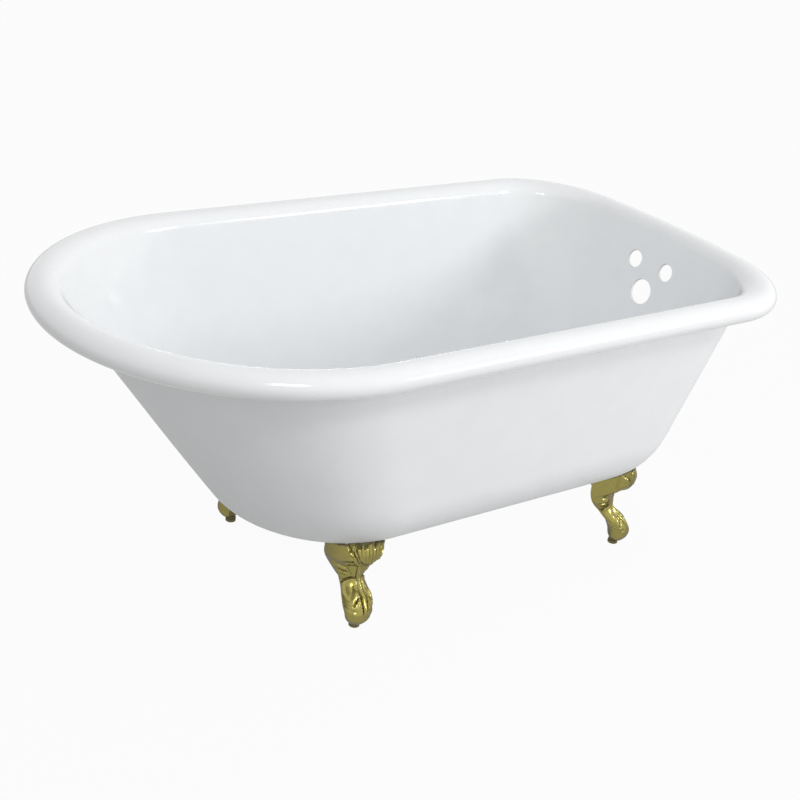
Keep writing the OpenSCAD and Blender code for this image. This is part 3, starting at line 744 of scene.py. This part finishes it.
def body(z, u, inset=0.0, heel=False):
    """Points of the section at height z. u runs from -1 to 1 round it, with 0 in front.

    Each ease() is one swing of the profile between the two heights that it names.
    """
    knee = np.clip((z - ANKLE_Z) / (TOP_Z - ANKLE_Z), 0, 1)
    ball = np.sqrt(1 - (np.minimum(0, z - BALL_Z) / BALL_R) ** 2)
    beak = 1 - (1 - np.clip((knee - BEAK_LOW) / BEAK_RUN, 0, 1)) ** BEAK_POWER
    front = (BALL_OUT + BALL_R * ball
             - (BALL_OUT + BALL_R + ANKLE_SET) * ease(z, BALL_Z + 4.5, 0.87 * ANKLE_Z)
             + (KNEE_FRONT + ANKLE_SET) * (BEAK_SHARE * beak + (1 - BEAK_SHARE) * knee))
    rear = (BALL_OUT - BALL_R * ball
            - (KNEE_BACK + BALL_OUT - BALL_R) * ease(z, BALL_Z - 6, 1.22 * ANKLE_Z))
    opened = ease(z, BALL_Z + BALL_R, 0.85 * ANKLE_Z)
    level = z + KNEE_RISE * opened * np.sin(np.pi / 2 * u) ** 2
    flare = np.clip((level - ANKLE_Z) / (TOP_Z - ANKLE_Z), 0, 1)
    half = (BALL_R * np.sqrt(1 - (np.minimum(0, level - BALL_Z) / BALL_R) ** 2)
            + (CLAW_HALF - BALL_R) * ease(level, BALL_Z - 5, BALL_Z + 18)
            - (CLAW_HALF - ANKLE_HALF) * ease(level, BALL_Z + 28, ANKLE_Z)
            + (KNEE_HALF - ANKLE_HALF) * ease(flare, -0.23, 1.07))
    tip = front - inset - (FLUTE * ease(knee, 0, 0.35) if heel else 0)
    across, along = np.sin(np.pi / 2 * u), np.cos(np.pi / 2 * u)
    leg = (rear + (tip - rear) * along ** CHEEK, (half - inset) * np.sign(u) * np.abs(across) ** CHEEK)
    sweep = math.radians(42 if heel else 130) * u
    facing_way = -1 if heel else 1
    claw = ((front + rear) / 2 + facing_way * (front - rear) / 2 * np.cos(sweep), half * np.sin(sweep))
    return np.stack([opened * leg[0] + (1 - opened) * claw[0], opened * leg[1] + (1 - opened) * claw[1],
                     np.broadcast_to(z, np.broadcast(z, u).shape)], axis=-1)


print("the foot's body is", TOP_Z - SOLE, "mm high and", 2 * KNEE_HALF, "mm wide at the knee")

# %% [markdown]
# The body becomes a grid of points: rings from the sole to the knee, with most of them
# in the claw and the leg, where the carving is finest.

# %% Rings of the foot
OUTER_N, INNER_N, RINGS, CLAW_RINGS = 216, 56, 210, 130
lower = np.linspace(SOLE, ANKLE_Z, CLAW_RINGS)
upper = np.linspace(ANKLE_Z, TOP_Z, RINGS - CLAW_RINGS + 1)[1:]
heights = np.concatenate([lower, upper])[:, None]
outer_u = np.linspace(-1, 1, OUTER_N)[None, :]
inner_u = np.linspace(1, -1, INNER_N)[None, :]
smooth_body = body(heights, outer_u)
knee = np.clip((heights - ANKLE_Z) / (TOP_Z - ANKLE_Z), 0, 1)
print("smooth foot, mm:", smooth_body.min((0, 1)).round(1), "to", smooth_body.max((0, 1)).round(1))

# %% [markdown]
# Carving is drawn on the unrolled surface: s is the distance in millimetres from the
# middle of the carving, z the height. A stroke is a ridge or a groove along a line of
# such points, with its own width and height, as a gouge or a modelling tool leaves
# it. A hump is a soft swell about one value, and a band is a plateau between two. The
# founder turned the claws a little towards each other, so the middle of the carving
# lies some millimetres beside the front of the body.

# %% Strokes on the unrolled foot
SIDEWAYS = ([10, 45, 60, 87, 105, 146], [7.0, 8.0, 9.0, 4.5, 5.0, 7.0])
front_line = OUTER_N // 2
steps = np.linalg.norm(np.diff(smooth_body, axis=1), axis=2)
walk = np.concatenate([np.zeros((RINGS, 1)), np.cumsum(steps, axis=1)], axis=1)
along = walk - (walk[:, front_line - 1:front_line] + walk[:, front_line:front_line + 1]) / 2
z = np.broadcast_to(heights, along.shape)


def hump(x, middle, reach):
    return np.exp(-((x - middle) / reach) ** 2)


def band(x, a, b, c, d):
    """Rises from 0 at a to 1 at b, and falls from 1 at c to 0 at d."""
    return ease(x, a, b) * (1 - ease(x, c, d))


def near_line(s, points):
    """Distance of every surface point to a line of (s, z) points, and how far along it is."""
    best, share = np.full(s.shape, 1e9), np.zeros(s.shape)
    for i, (a, b) in enumerate(zip(points[:-1], points[1:])):
        run = np.subtract(b, a)
        t = np.clip(((s - a[0]) * run[0] + (z - a[1]) * run[1]) / (run @ run), 0, 1)
        away = np.hypot(s - a[0] - t * run[0], z - a[1] - t * run[1])
        closer = away < best
        best[closer], share[closer] = away[closer], (i + t[closer]) / (len(points) - 1)
    return best, share


def stroke(s, points, width, height, blade=2.0):
    """A ridge, or a groove where the height is negative, that may change along its line."""
    away, share = near_line(s, points)
    reach = np.interp(share, np.linspace(0, 1, len(width)), width)
    lift = np.interp(share, np.linspace(0, 1, len(height)), height)
    return lift * np.clip(1 - (away / reach) ** blade, 0, 1)


print("the surface unrolls to", round(float(np.ptp(along)), 1), "mm at the knee's rim")

# %% [markdown]
# The knee's front is a fan of ribs that spread from the crease over the ankle. Two
# leaves with wavy edges overlap it on each side, and a smooth cheek covers the leaves.
# Between two ribs the fan's rim stops short of the bath, which leaves openings, and these are painted dark
# as their shadow.
# Broad swells then give the knee the real one's outline: fullest a little below its
# top, deep in the crease, and full again in the leg under it. They lie by t, the
# distance from the front of the body, positive on the side the claw turns to.

# %% Carving of the knee
CREASE_Z, RIB, LEAF_WAVE = 119.0, 9.3, 7.2
LEAF_NEAR = ([121, 124, 128, 132, 134, 136, 138, 140, 143, 146],
             [15.5, 18.5, 22, 25.2, 27.6, 29.6, 30.2, 30.4, 31.4, 33])
LEAF_FAR = ([123, 126, 129, 131, 133, 135, 137, 139, 142, 146],
            [23, 24.5, 27, 29.4, 33, 37, 41.5, 45, 49, 54])


def knee_carving(s, t, crisp):
    """Relief of the knee. crisp says how sharp the leaf edges came out of the mould."""
    spread = np.clip((z - CREASE_Z) / (TOP_Z - CREASE_Z), 0, 1)
    fan = s / (0.5 + 0.5 * spread ** 0.8)
    ribs = (0.8 + 1.5 * spread) * (np.abs(np.cos(np.pi * fan / RIB)) ** 0.8 - 1)
    relief = ease(z, CREASE_Z - 1.5, CREASE_Z + 2) * (1 - ease(fan, 28, 30)) * ribs
    near, far = s - np.interp(z, *LEAF_NEAR), s - np.interp(z, *LEAF_FAR)
    on_leaf = ease(z, 123, 129) * ease(near, 0, 3) * (1 - ease(far, -3, 0))
    relief += on_leaf * (0.5 * np.cos(2 * np.pi * near / LEAF_WAVE) - 0.8)
    for edge, size in ((near, 1.0), (far, 1.15)):
        fold = 1.4 * hump(edge, 1.8, 2.0) - 2.4 * hump(edge, -1.6, 2.0)
        relief += ease(z, 121, 125) * size * crisp * fold
    relief += stroke(s, [(0, 119.5), (10, 120.5), (19, 122.5)], [2.2, 2.6, 2.8], [-0.8, -2.2, -2.8])
    openings = band(fan, 6, 8, 15, 17) + band(fan, 20.5, 22.5, 29.5, 31.5)
    relief -= 2.6 * openings * ease(z, 137.5, 141.5)
    return relief + knee_outline(s, t), openings


def knee_outline(s, t):
    beak = 2.0 * hump(z, 130, 7) * (1 - ease(s, 12, 30))
    drawn_back = 7.5 * ease(z, 130, 147) * band(t, -54, -34, 12, 34)
    cheek = 2.6 * ease(z, 121, 130) * band(t, 18, 32, 50, 60)
    leg_and_crease = 2.6 * hump(z, 99, 7) - 2.8 * hump(z, 114.5, 3.5)
    return beak - drawn_back + cheek + band(t, 14, 28, 54, 66) * leg_and_crease


print("ribs of the fan:", 2 * int(28 / RIB) + 1, "each", RIB, "mm wide at the rim")

# %% [markdown]
# Under the cheek the leaf's lower edge rolls into a curl, and three lobes with dark
# hollows between them run forward to a beaded ridge, which goes down the front of
# the leg. A cuff line closes the carving over the bare shin. Each stroke is written
# as its line of points, its widths and its heights.

# %% Carving of the leg
BEAD = 3.6
LOBES = (
    ([(54, 122), (42, 126.5), (33, 126.5), (27.5, 123.5), (29, 120.5)],
     [2.5, 3.2, 3.0, 2.6, 1.8], [0.3, 1.6, 2.2, 2.2, 1.0]),
    ([(52, 112), (40, 115), (30, 113.5), (19, 108)], [2.5, 3.6, 3.4, 1.6], [0.4, 2.0, 2.4, 0.8]),
    ([(50, 102), (38, 104), (27, 102.5), (17, 98)], [2.5, 3.8, 3.4, 1.6], [0.4, 1.8, 2.2, 0.8]),
    ([(46, 91), (34, 93.5), (24, 93), (15, 91)], [2.0, 3.2, 3.0, 1.6], [0.3, 1.4, 1.6, 0.6]))
HOLLOWS = (
    ([(50, 119.5), (40, 121.5), (32, 123), (30, 123.5)], [1.4, 1.8, 2.6, 2.6], [-0.8, -1.6, -2.6, -2.4]),
    ([(42, 108), (37, 109), (31, 108), (24, 103)], [1.4, 2.8, 2.8, 1.6], [-0.3, -2.4, -2.4, -0.3]),
    ([(41, 98), (36, 98.8), (30, 97.5), (22, 94)], [1.4, 2.8, 2.8, 1.6], [-0.3, -2.4, -2.2, -0.3]),
    ([(25, 108), (19, 100), (14.5, 92), (13.5, 88)], [1.2, 1.4, 1.4, 1.2], [-0.5, -1.2, -1.2, -0.6]))
CUFF = (
    ([(38, 75.5), (34, 78), (24, 83.5), (14.5, 88), (5, 87)],
     [2.4, 2.6, 1.8, 2.0, 1.4], [-2.6, -3.0, -1.8, -2.4, -1.0]),
    ([(37, 72.5), (24, 80), (14.5, 84.5)], [2.0, 2.6, 2.0], [0.4, 1.2, 0.8]))
RIDGE = (
    ([(0, 118), (0, 105), (0, 74)], [4.0, 4.6, 4.0], [1.3, 1.5, 1.2]),
    ([(5.2, 114), (5.0, 95), (5.0, 76)], [1.3, 1.5, 1.3], [-0.8, -1.1, -0.6]))


def leg_carving(s):
    relief = ease(s, 14, 30) * np.maximum.reduce([stroke(s, *lobe) for lobe in LOBES])
    for line in HOLLOWS + CUFF + RIDGE:
        relief += stroke(s, *line)
    beads = np.clip(np.cos(2 * np.pi * z / BEAD), -0.2, 1) * band(z, 73, 77, 112, 116)
    return relief + 0.35 * beads * hump(s, 0, 1.7)


print("strokes on a leg:", len(LOBES + HOLLOWS + CUFF + RIDGE))

# %% [markdown]
# The claw is the carver's best known theme: toes that grip a ball. A sharp middle toe
# stands between two grooves, a bent toe with a clear knuckle lies on each side, the
# skin folds in wrinkles at the back, and the ball under them is left smooth. The
# fourth number of a toe's stroke makes its ridge sharper than a gouge's round cut.

# %% Carving of the claw
TOES = (
    ([(0, 96), (0, 74), (0, 56), (0, 42), (0, 28)], [3.0, 4.0, 5.0, 4.6, 2.0],
     [0.6, 1.4, 2.4, 2.6, 0.6], 1.3),
    ([(5.8, 76), (5.6, 64), (5.4, 54), (4.8, 45), (3.8, 35)], [1.2, 1.9, 2.3, 2.1, 1.0],
     [-0.7, -1.9, -3.0, -2.6, -0.6]),
    ([(9.2, 66), (8.8, 54), (7.2, 44), (5.0, 34)], [1.6, 2.2, 2.0, 1.2], [0.5, 1.3, 1.3, 0.4], 1.3),
    ([(9.5, 59), (14, 54), (20, 48), (22, 45)], [1.0, 1.8, 1.7, 1.0], [-0.8, -2.6, -2.2, -0.6]),
    ([(13, 72), (14, 65), (18, 57), (22, 50), (20, 38), (17, 30)], [3.0, 4.4, 5.0, 5.5, 4.5, 2.0],
     [0.5, 2.0, 2.2, 1.6, 1.2, 0.3], 1.6))
WRINKLES = ((61, 53.5), (55, 48), (49, 42.5))


def claw_carving(s):
    relief = 2.8 * band(z, 13, 28, 56, 82) * (1 - ease(s, 26, 46))
    relief -= 2.0 * hump(s, 19.5, 4.6) * hump(z, 40.5, 3.2)
    for line in TOES:
        relief += stroke(s, *line)
    for high, low in WRINKLES:
        middle = (high + low) / 2
        fold = [(48, high), (37, middle + 0.8), (27, low)]
        swell = [(48, high - 3), (37, middle - 2.2), (28, low - 3)]
        relief += stroke(s, fold, [1.6, 2.2, 1.4], [-0.7, -1.2, -0.4])
        relief += stroke(s, swell, [1.4, 1.9, 1.2], [0.3, 0.8, 0.3])
    return relief


print("strokes on a claw:", len(TOES) + 2 * len(WRINKLES))

# %% [markdown]
# The three carvings are added up. Where the relief lies lower than its surroundings, the attribute "recess"
# grows: that is where old polish and dark metal stay behind and where shade falls, so it paints tarnish and
# shade together. The openings between the ribs and a band along the top are added to it as painted shadow.
# The relief fades towards the open back of the foot, which nobody sees. The moulds of
# the two ends differ: at the tap end the carving turns the other way, and its leaf
# edges are only half as crisp.

# %% Carved surface
def surface_normals(grid):
    up_way = np.gradient(grid, axis=0)
    round_way = np.gradient(grid, axis=1)
    normals = np.cross(round_way, up_way)
    return normals / np.linalg.norm(normals, axis=2, keepdims=True)


def blurred(field, reach):
    for axis in (0, 1):
        field = sum(np.roll(field, i, axis) for i in range(-reach, reach + 1)) / (2 * reach + 1)
    return field


BLUR, SLACK, FULLY_DARK = 6, 0.1, 1.5
normals = surface_normals(smooth_body)
if np.einsum("ijk,ijk->ij", normals, smooth_body - smooth_body.mean((0, 1))).mean() < 0:
    normals = -normals
hollow = body(heights, inner_u, THICK, heel=True)


def carve(hand, crisp):
    """The carved outer surface, its recess values of tarnish and painted shade, and the openings in its rim,
    for one hand.
    """
    s = np.abs(along - hand * np.interp(z, *SIDEWAYS))
    relief, openings = knee_carving(s, np.sign(hand) * along, crisp)
    relief = (relief + leg_carving(s) + claw_carving(s)) * (1 - 0.8 * ease(np.abs(outer_u), 0.93, 1.0))
    carved = smooth_body + normals * relief[:, :, None]
    carved[:, :, 2] = np.maximum(carved[:, :, 2], SOLE)
    # Tarnish and painted shade: the lower a spot lies below its blurred surroundings, the darker it is
    # painted.
    recess = np.clip((blurred(relief, BLUR) - relief - SLACK) / FULLY_DARK, 0, 1)
    # Painted shadow: the openings between the ribs are painted dark.
    recess = np.maximum(recess, openings * ease(z, 138.5, 141.5))
    # Painted shadow: a band along the top of the knee, where it meets the bath, is painted dark.
    recess = np.maximum(recess, ease(z, 141.5, 144.5))
    print("carving from", round(float(relief.min()), 2), "to", round(float(relief.max()), 2), "mm,",
          round(float((recess > 0.3).mean()), 3), "of the surface in recesses")
    return carved, recess, openings[-1]


CARVED = {"head": carve(1.0, 1.0), "tap": carve(-0.85, 0.5)}

# %% [markdown]
# Last, the section at the top has to lie right under the curved bath, with a gap of
# 0.7 mm. Rays find the bath's underside over each point, and the whole knee is drawn
# up to it. Only the openings between the ribs stay lower. Cutting the knee off with
# the bath as a Boolean would be simpler, but its carving would be cut off too.

# %% A foot under the bath
SEAT_GAP, OPENING_DEEP = 0.7, 3.4


def foot_solid(carved, openings, place):
    grid = np.concatenate([carved, hollow], axis=1)
    rise = []
    for point in grid[-1]:
        spot = place @ Vector(point * MM)
        rise.append(underside(spot.x, spot.y) / MM - SEAT_GAP - TOP_Z)
    grid[:, :, 2] += knee * np.array(rise)[None, :]
    grid[:, :OUTER_N, 2] -= ease(knee, 0.8, 1.0) * OPENING_DEEP * openings
    around = OUTER_N + INNER_N
    faces = []
    for low in range(0, (RINGS - 1) * around, around):
        for i in range(around):
            j = (i + 1) % around
            faces.append((low + i, low + j, low + around + j, low + around + i))
    faces += [tuple(range(around))[::-1], tuple(range((RINGS - 1) * around, RINGS * around))]
    return grid.reshape(-1, 3) * MM, faces, grid


print("a foot is made of", RINGS, "rings of", OUTER_N + INNER_N, "points")

# %% [markdown]
# The foot is hollow, and a flat ear across the hollow is what the stud clamps. Its
# slot is open to the back, so a foot can be pushed on while the nut hangs loose. Its
# outline follows the hollow's wall and reaches 2 mm into it.

# %% Clamping ear
EAR_Z, EAR_T, EAR_BACK, EAR_MIDDLE, INTO_WALL, SLOT_R = 131.95, 7.0, -58.5, (-30, 0), 2.0, 5.75


def ear_solid(grid):
    """The clamping ear: a plate across the hollow with a slot that is open to the back."""
    wall = grid[:, OUTER_N:]
    level = np.argmin(np.abs(wall[:, :, 2] - EAR_Z - EAR_T / 2), axis=0)
    edge_points = wall[level, np.arange(INNER_N)][:, :2]
    edge_points = edge_points + INTO_WALL * np.sign(edge_points - EAR_MIDDLE)
    edge_points = [p for p in edge_points if p[0] > EAR_BACK]
    slot = [(STUD_BACK + SLOT_R * math.cos(a), SLOT_R * math.sin(a))
            for a in np.radians(np.linspace(-90, 90, 17))]
    outline = edge_points + [(EAR_BACK, edge_points[-1][1]), (EAR_BACK, -SLOT_R)] + slot
    outline += [(EAR_BACK, SLOT_R), (EAR_BACK, edge_points[0][1])]
    n = len(outline)
    points = np.array([(p[0], p[1], h) for h in (EAR_Z, EAR_Z + EAR_T) for p in outline]) * MM
    faces = [(i, (i + 1) % n, n + (i + 1) % n, n + i) for i in range(n)]
    return points, faces + [tuple(range(n))[::-1], tuple(range(n, 2 * n))]


print("the ear is", EAR_T, "mm thick, and its slot", 2 * SLOT_R, "mm wide")

# %% [markdown]
# Now the feet can be made: body and ear in one mesh, the recess values on its points,
# and a bore in the claw for the leveller, wide for the pad and narrow for the screw.
# The hollow was never polished and lies in shade, so it counts as a recess all over and is painted dark for
# both.

# %% Four feet
# The hollow's recess value: unpolished metal and painted shade.
UNPOLISHED_AND_SHADED = 0.8
BORE = outline_mm((11, 0), (11, 12.8), (5.06, 12.8), (5.06, 51))


def make_foot(name, carving, place):
    carved, recess, openings = carving
    points, faces, grid = foot_solid(carved, openings, place)
    piece = make_piece(name, [(points, faces), ear_solid(grid)], [BRASS], crease=60)
    depth = piece.data.attributes.new("recess", "FLOAT", "POINT")
    values = np.full(len(piece.data.vertices), UNPOLISHED_AND_SHADED)
    inner = np.full((RINGS, INNER_N), UNPOLISHED_AND_SHADED)
    values[:RINGS * (OUTER_N + INNER_N)] = np.concatenate([recess, inner], axis=1).ravel()
    depth.data.foreach_set("value", values.astype(np.float32))
    cut(piece, [turned(BORE)])
    piece.data.transform(place)
    if place.determinant() < 0:
        piece.data.flip_normals()
    return piece


feet = {}
for foot in FEET:
    feet[foot] = make_foot("carved_foot_" + foot, CARVED[foot.split("_")[0]], foot_place(foot))
print("a foot has", len(feet["head_right"].data.vertices), "points")

# %% [markdown]
# The leveller screws and the studs are threaded. A thread repeats, so it is a small
# Geometry Nodes tree: a spiral, a four-cornered profile swept along it, and a core.
# Metric threads are 0.61 of their pitch deep, and a ridge that is a little over half
# the pitch wide lets neighbouring turns meet at the core.

# %% Threads
THREAD = """
turns = length / pitch
ridge = pitch * 0.54
path = diameter / 2 - ridge
core = diameter / 2 - pitch * 0.61
"""


def thread_tree():
    tree, known = new_tree("thread", {"diameter": 0.010, "pitch": 0.0015, "length": 0.038})
    formula(tree, THREAD, known)
    spiral = add_node(tree, "GeometryNodeCurveSpiral", {
        "Resolution": 36, "Rotations": known["turns"], "Start Radius": known["path"],
        "End Radius": known["path"], "Height": known["length"]})
    section = add_node(tree, "GeometryNodeCurvePrimitiveCircle", {"Resolution": 4, "Radius": known["ridge"]})
    swept = add_node(tree, "GeometryNodeCurveToMesh", {
        "Curve": spiral.outputs[0], "Profile Curve": section.outputs[0], "Fill Caps": True})
    rod = add_node(tree, "GeometryNodeMeshCylinder", {
        "Vertices": 36, "Radius": known["core"], "Depth": known["length"]})
    half = add_node(tree, "ShaderNodeMath", (known["length"], 0.5), operation="MULTIPLY")
    shift = add_node(tree, "ShaderNodeCombineXYZ", {"Z": half.outputs[0]})
    raised = add_node(tree, "GeometryNodeTransform", {
        "Geometry": rod.outputs["Mesh"], "Translation": shift.outputs[0]})
    both = add_node(tree, "GeometryNodeJoinGeometry", {"Geometry": swept.outputs[0]})
    tree.links.new(raised.outputs[0], both.inputs[0])
    finished = add_node(tree, "GeometryNodeSetMaterial", {"Geometry": both.outputs[0], "Material": ZINC})
    whole = add_node(tree, "GeometryNodeRealizeInstances", {"Geometry": finished.outputs[0]})
    add_node(tree, "NodeGroupOutput", {"Geometry": whole.outputs[0]})
    return tree


def threaded(tree, diameter, pitch, length, low):
    """A threaded rod as points and faces, with its lower end at the height low."""
    rod = bake_tree("rod", tree, {"diameter": diameter, "pitch": pitch, "length": length}, [])
    points = np.array([v.co[:] for v in rod.data.vertices]) + [0, 0, low]
    faces = [p.vertices[:] for p in rod.data.polygons]
    bpy.data.objects.remove(rod)
    return points, faces


ONE_THREAD = thread_tree()
screw_thread = threaded(ONE_THREAD, 9.9 * MM, 1.5 * MM, 36.5 * MM, 12 * MM)
stud_thread = threaded(ONE_THREAD, 9.4 * MM, 1.5 * MM, 31 * MM, 119.2 * MM)
print("thread of a screw:", len(screw_thread[1]), "faces")

# %% [markdown]
# Under each claw stands a leveller: a turned pad with a hollow, in which the rounded
# end of a screw turns. The screw has a hexagon just over the pad, so the bath can be
# levelled with a spanner. A stud, a washer and a nut clamp the ear up to the boss.
# Each is turned from its profile, in millimetres over the floor, because that is how
# they are really made. The washer and the nut start from their own undersides.

# %% Profiles of the small parts
PAD = outline_mm((0.2, 0)) + rounded((8.6 * MM, 1.4 * MM), 1.4 * MM, -90, 0)
PAD += rounded((9.2 * MM, 6.2 * MM), 0.8 * MM, 0, 90) + outline_mm((6.06, 7), (6.06, 3), (0.2, 3))
HEXAGON = outline_mm((7.6, 7.3), (8.6, 7.3), (9.75, 7.9), (9.75, 11.2), (8.6, 11.8))
HEXAGON += outline_mm((4.9, 11.8), (4.9, 7.31))
PIVOT = outline_mm((0.2, 3.05)) + rounded((5.2 * MM, 3.85 * MM), 0.8 * MM, -90, 0) + outline_mm((6, 7.4))
SCREW_END = outline_mm((4.35, 48.4), (4.35, 49.2), (3.6, 50), (0.2, 50))
STUD_END = outline_mm((0.2, 118.85), (3.6, 118.85), (4.3, 119.5), (4.3, 121))
WASHER = outline_mm((5.05, 0.2)) + rounded((11.6 * MM, 0.4 * MM), 0.4 * MM, -90, 0, 3)
WASHER += rounded((11.6 * MM, 1.6 * MM), 0.4 * MM, 0, 90, 3) + outline_mm((5.05, 2))
NUT = outline_mm((5.0, 0), (6.7, 0), (8.25, 0.9), (8.25, 7.1), (6.7, 8), (5.0, 8))
SCREW_FLATS, NUT_FLATS, WASHER_Z, NUT_Z = 17 * MM, 14.3 * MM, 129.9 * MM, 121.85 * MM


print("points of the hexagon's profile:", len(HEXAGON))

# %% [markdown]
# Each foot gets its five small parts. Every piece then rides on a body of the packed model and stands for
# one imported node.

# %% Levellers and fixings
def moved(solid, place):
    return solid[0] @ np.array(place.to_3x3()).T + np.array(place.translation), solid[1]


for foot in FEET:
    base, bolt = foot_place(foot), stud_place(foot)
    pad = make_piece("pad_" + foot, [turned(PAD, base)], [DULL_BRASS])
    screw_solids = [turned(HEXAGON, base, loop=True, flats=SCREW_FLATS), turned(PIVOT, base),
                    turned(SCREW_END, base), moved(screw_thread, base)]
    screw = make_piece("screw_" + foot, screw_solids, [DULL_BRASS])
    stud = make_piece("stud_" + foot, [turned(STUD_END, bolt), moved(stud_thread, bolt)], [ZINC])
    lift = bolt @ Matrix.Translation((0, 0, WASHER_Z))
    ring = make_piece("washer_" + foot, [turned(WASHER, lift, loop=True)], [ZINC])
    seat = bolt @ Matrix.Translation((0, 0, NUT_Z))
    hexnut = make_piece("nut_" + foot, [turned(NUT, seat, loop=True, flats=NUT_FLATS)], [ZINC])
    for piece, body_name, slot, node in (
            (feet[foot], "bath", "foot_brass", "claw_foot_"),
            (pad, "pad_" + foot, "leveller_brass", "leveller_pad_"),
            (screw, "screw_" + foot, "leveller_brass", "leveller_screw_"),
            (stud, "bath", "zinc_steel", "foot_stud_"),
            (ring, "bath", "zinc_steel", "foot_washer_"),
            (hexnut, "bath", "zinc_steel", "foot_nut_")):
        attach(piece, body_name)
        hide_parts(node + foot)
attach(bath, "bath")
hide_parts("tub_shell")
print("pieces:", len(feet) * 6 + 1)

# %% [markdown]
# The photograph has a white ground. The floor and the world are white only where the
# camera, or a reflection, looks straight at them; the light that falls on the bath is
# a plain studio level, and the floor still takes the bath's soft shadow. Brighter
# lamps would whiten the floor too, but they would burn out the enamel.

# %% Floor
STRAIGHT_WHITE, MIRROR_WHITE = 0.95, 0.5
FLOOR_SIDE, SQUARES = 24, 8


def white_ground():
    """White paper: the eye gets a ground without an edge, and a faint soft shadow."""
    made, tree = material("white_studio_paper")
    seen = add_node(tree, "ShaderNodeLightPath")
    place = add_node(tree, "ShaderNodeTexCoord").outputs["Object"]
    # Paper fibre is finer than 0.1 mm. It is drawn at 3 mm, or it would not show.
    fibre = add_node(tree, "ShaderNodeTexNoise", {"Vector": place, "Scale": 1 / (3 * MM)})
    tint = add_node(tree, "ShaderNodeMix", {
        "Factor": fibre.outputs["Fac"], "A": linear("#bcbcbb"), "B": linear("#c4c4c3")}, data_type="RGBA")
    paper = add_node(tree, "ShaderNodeBsdfDiffuse", {"Color": tint.outputs["Result"]})
    glow = add_node(tree, "ShaderNodeEmission", {"Color": linear("#ffffff"), "Strength": 1.0})
    straight = add_node(tree, "ShaderNodeMath", (seen.outputs["Is Camera Ray"], STRAIGHT_WHITE),
                        operation="MULTIPLY")
    share = add_node(tree, "ShaderNodeMath", (
        seen.outputs["Is Glossy Ray"], MIRROR_WHITE, straight.outputs[0]), operation="MULTIPLY_ADD")
    mixed = add_node(tree, "ShaderNodeMixShader", (share.outputs[0], paper.outputs[0], glow.outputs[0]))
    add_node(tree, "ShaderNodeOutputMaterial", {"Surface": mixed.outputs[0]})
    return made


bpy.ops.mesh.primitive_grid_add(size=FLOOR_SIDE, x_subdivisions=SQUARES, y_subdivisions=SQUARES)
floor = bpy.context.object
floor.name = "studio_floor"
floor.data.materials.append(white_ground())
print("floor of", len(floor.data.polygons), "squares of", FLOOR_SIDE / SQUARES, "metres")

# %% [markdown]
# The studio is brighter on the near side, towards the tap end and above, as the
# shading of the bath's inside tells: the sky's level grows evenly in that direction.
# A ring of many lamps could do that, but would leave a spot for each in the enamel.

# %% World
BRIGHT_SIDE, BRIGHT_REACH, DIM, BRIGHT = (0.36, -0.60, 0.49), 0.87, 0.27, 0.84

world = bpy.data.worlds.new("studio")
bpy.context.scene.world = world
world.use_nodes = True
world.node_tree.nodes.clear()
sky = world.node_tree
seen = add_node(sky, "ShaderNodeLightPath")
way = add_node(sky, "ShaderNodeTexCoord").outputs["Generated"]
side = add_node(sky, "ShaderNodeVectorMath", (way, BRIGHT_SIDE), operation="DOT_PRODUCT")
soft = add_node(sky, "ShaderNodeMapRange", {
    "Value": side.outputs["Value"], "From Min": -BRIGHT_REACH, "From Max": BRIGHT_REACH,
    "To Min": DIM, "To Max": BRIGHT})
looked_at = add_node(sky, "ShaderNodeMath", (
    seen.outputs["Is Camera Ray"], seen.outputs["Is Glossy Ray"]), operation="MAXIMUM")
white = add_node(sky, "ShaderNodeMath", (
    looked_at.outputs[0], seen.outputs["Is Transmission Ray"]), operation="MAXIMUM")
level = add_node(sky, "ShaderNodeMix", {"Factor": white.outputs[0], "A": soft.outputs["Result"], "B": 1.0})
ground = add_node(sky, "ShaderNodeBackground", {
    "Color": linear("#ffffff"), "Strength": level.outputs["Result"]})
add_node(sky, "ShaderNodeOutputWorld", {"Surface": ground.outputs[0]})
bpy.context.scene.view_settings.view_transform = "Standard"
print("sky level from", DIM, "to", BRIGHT)

# %% [markdown]
# Two soft boxes stand where the photo's highlights point, both on the near side: a
# large one beyond the tap end, and a smaller, higher one towards the head. The rolled
# rim and the raised brass mirror them, and the rest of the light is the studio's own.

# %% Lamps
def softbox(name, where, aim, width, height, power):
    lamp = bpy.data.lights.new(name, "AREA")
    lamp.shape, lamp.size, lamp.size_y, lamp.energy = "RECTANGLE", width, height, power
    holder = bpy.data.objects.new(name, lamp)
    way = Vector(aim) - Vector(where)
    holder.matrix_world = Matrix.Translation(where) @ way.to_track_quat("-Z", "Y").to_matrix().to_4x4()
    bpy.context.collection.objects.link(holder)
    return holder


# Each has a place and an aim in metres, a width, a height, and a power in watts.
softbox("window_light", (2.05, -2.4, 1.5), (0.1, 0, 0.35), 0.8, 0.6, 27)
softbox("side_window", (-0.9, -2.2, 2.6), (0.3, 0, 0.45), 0.6, 0.45, 16)
print("lamps:", len(bpy.data.lights))
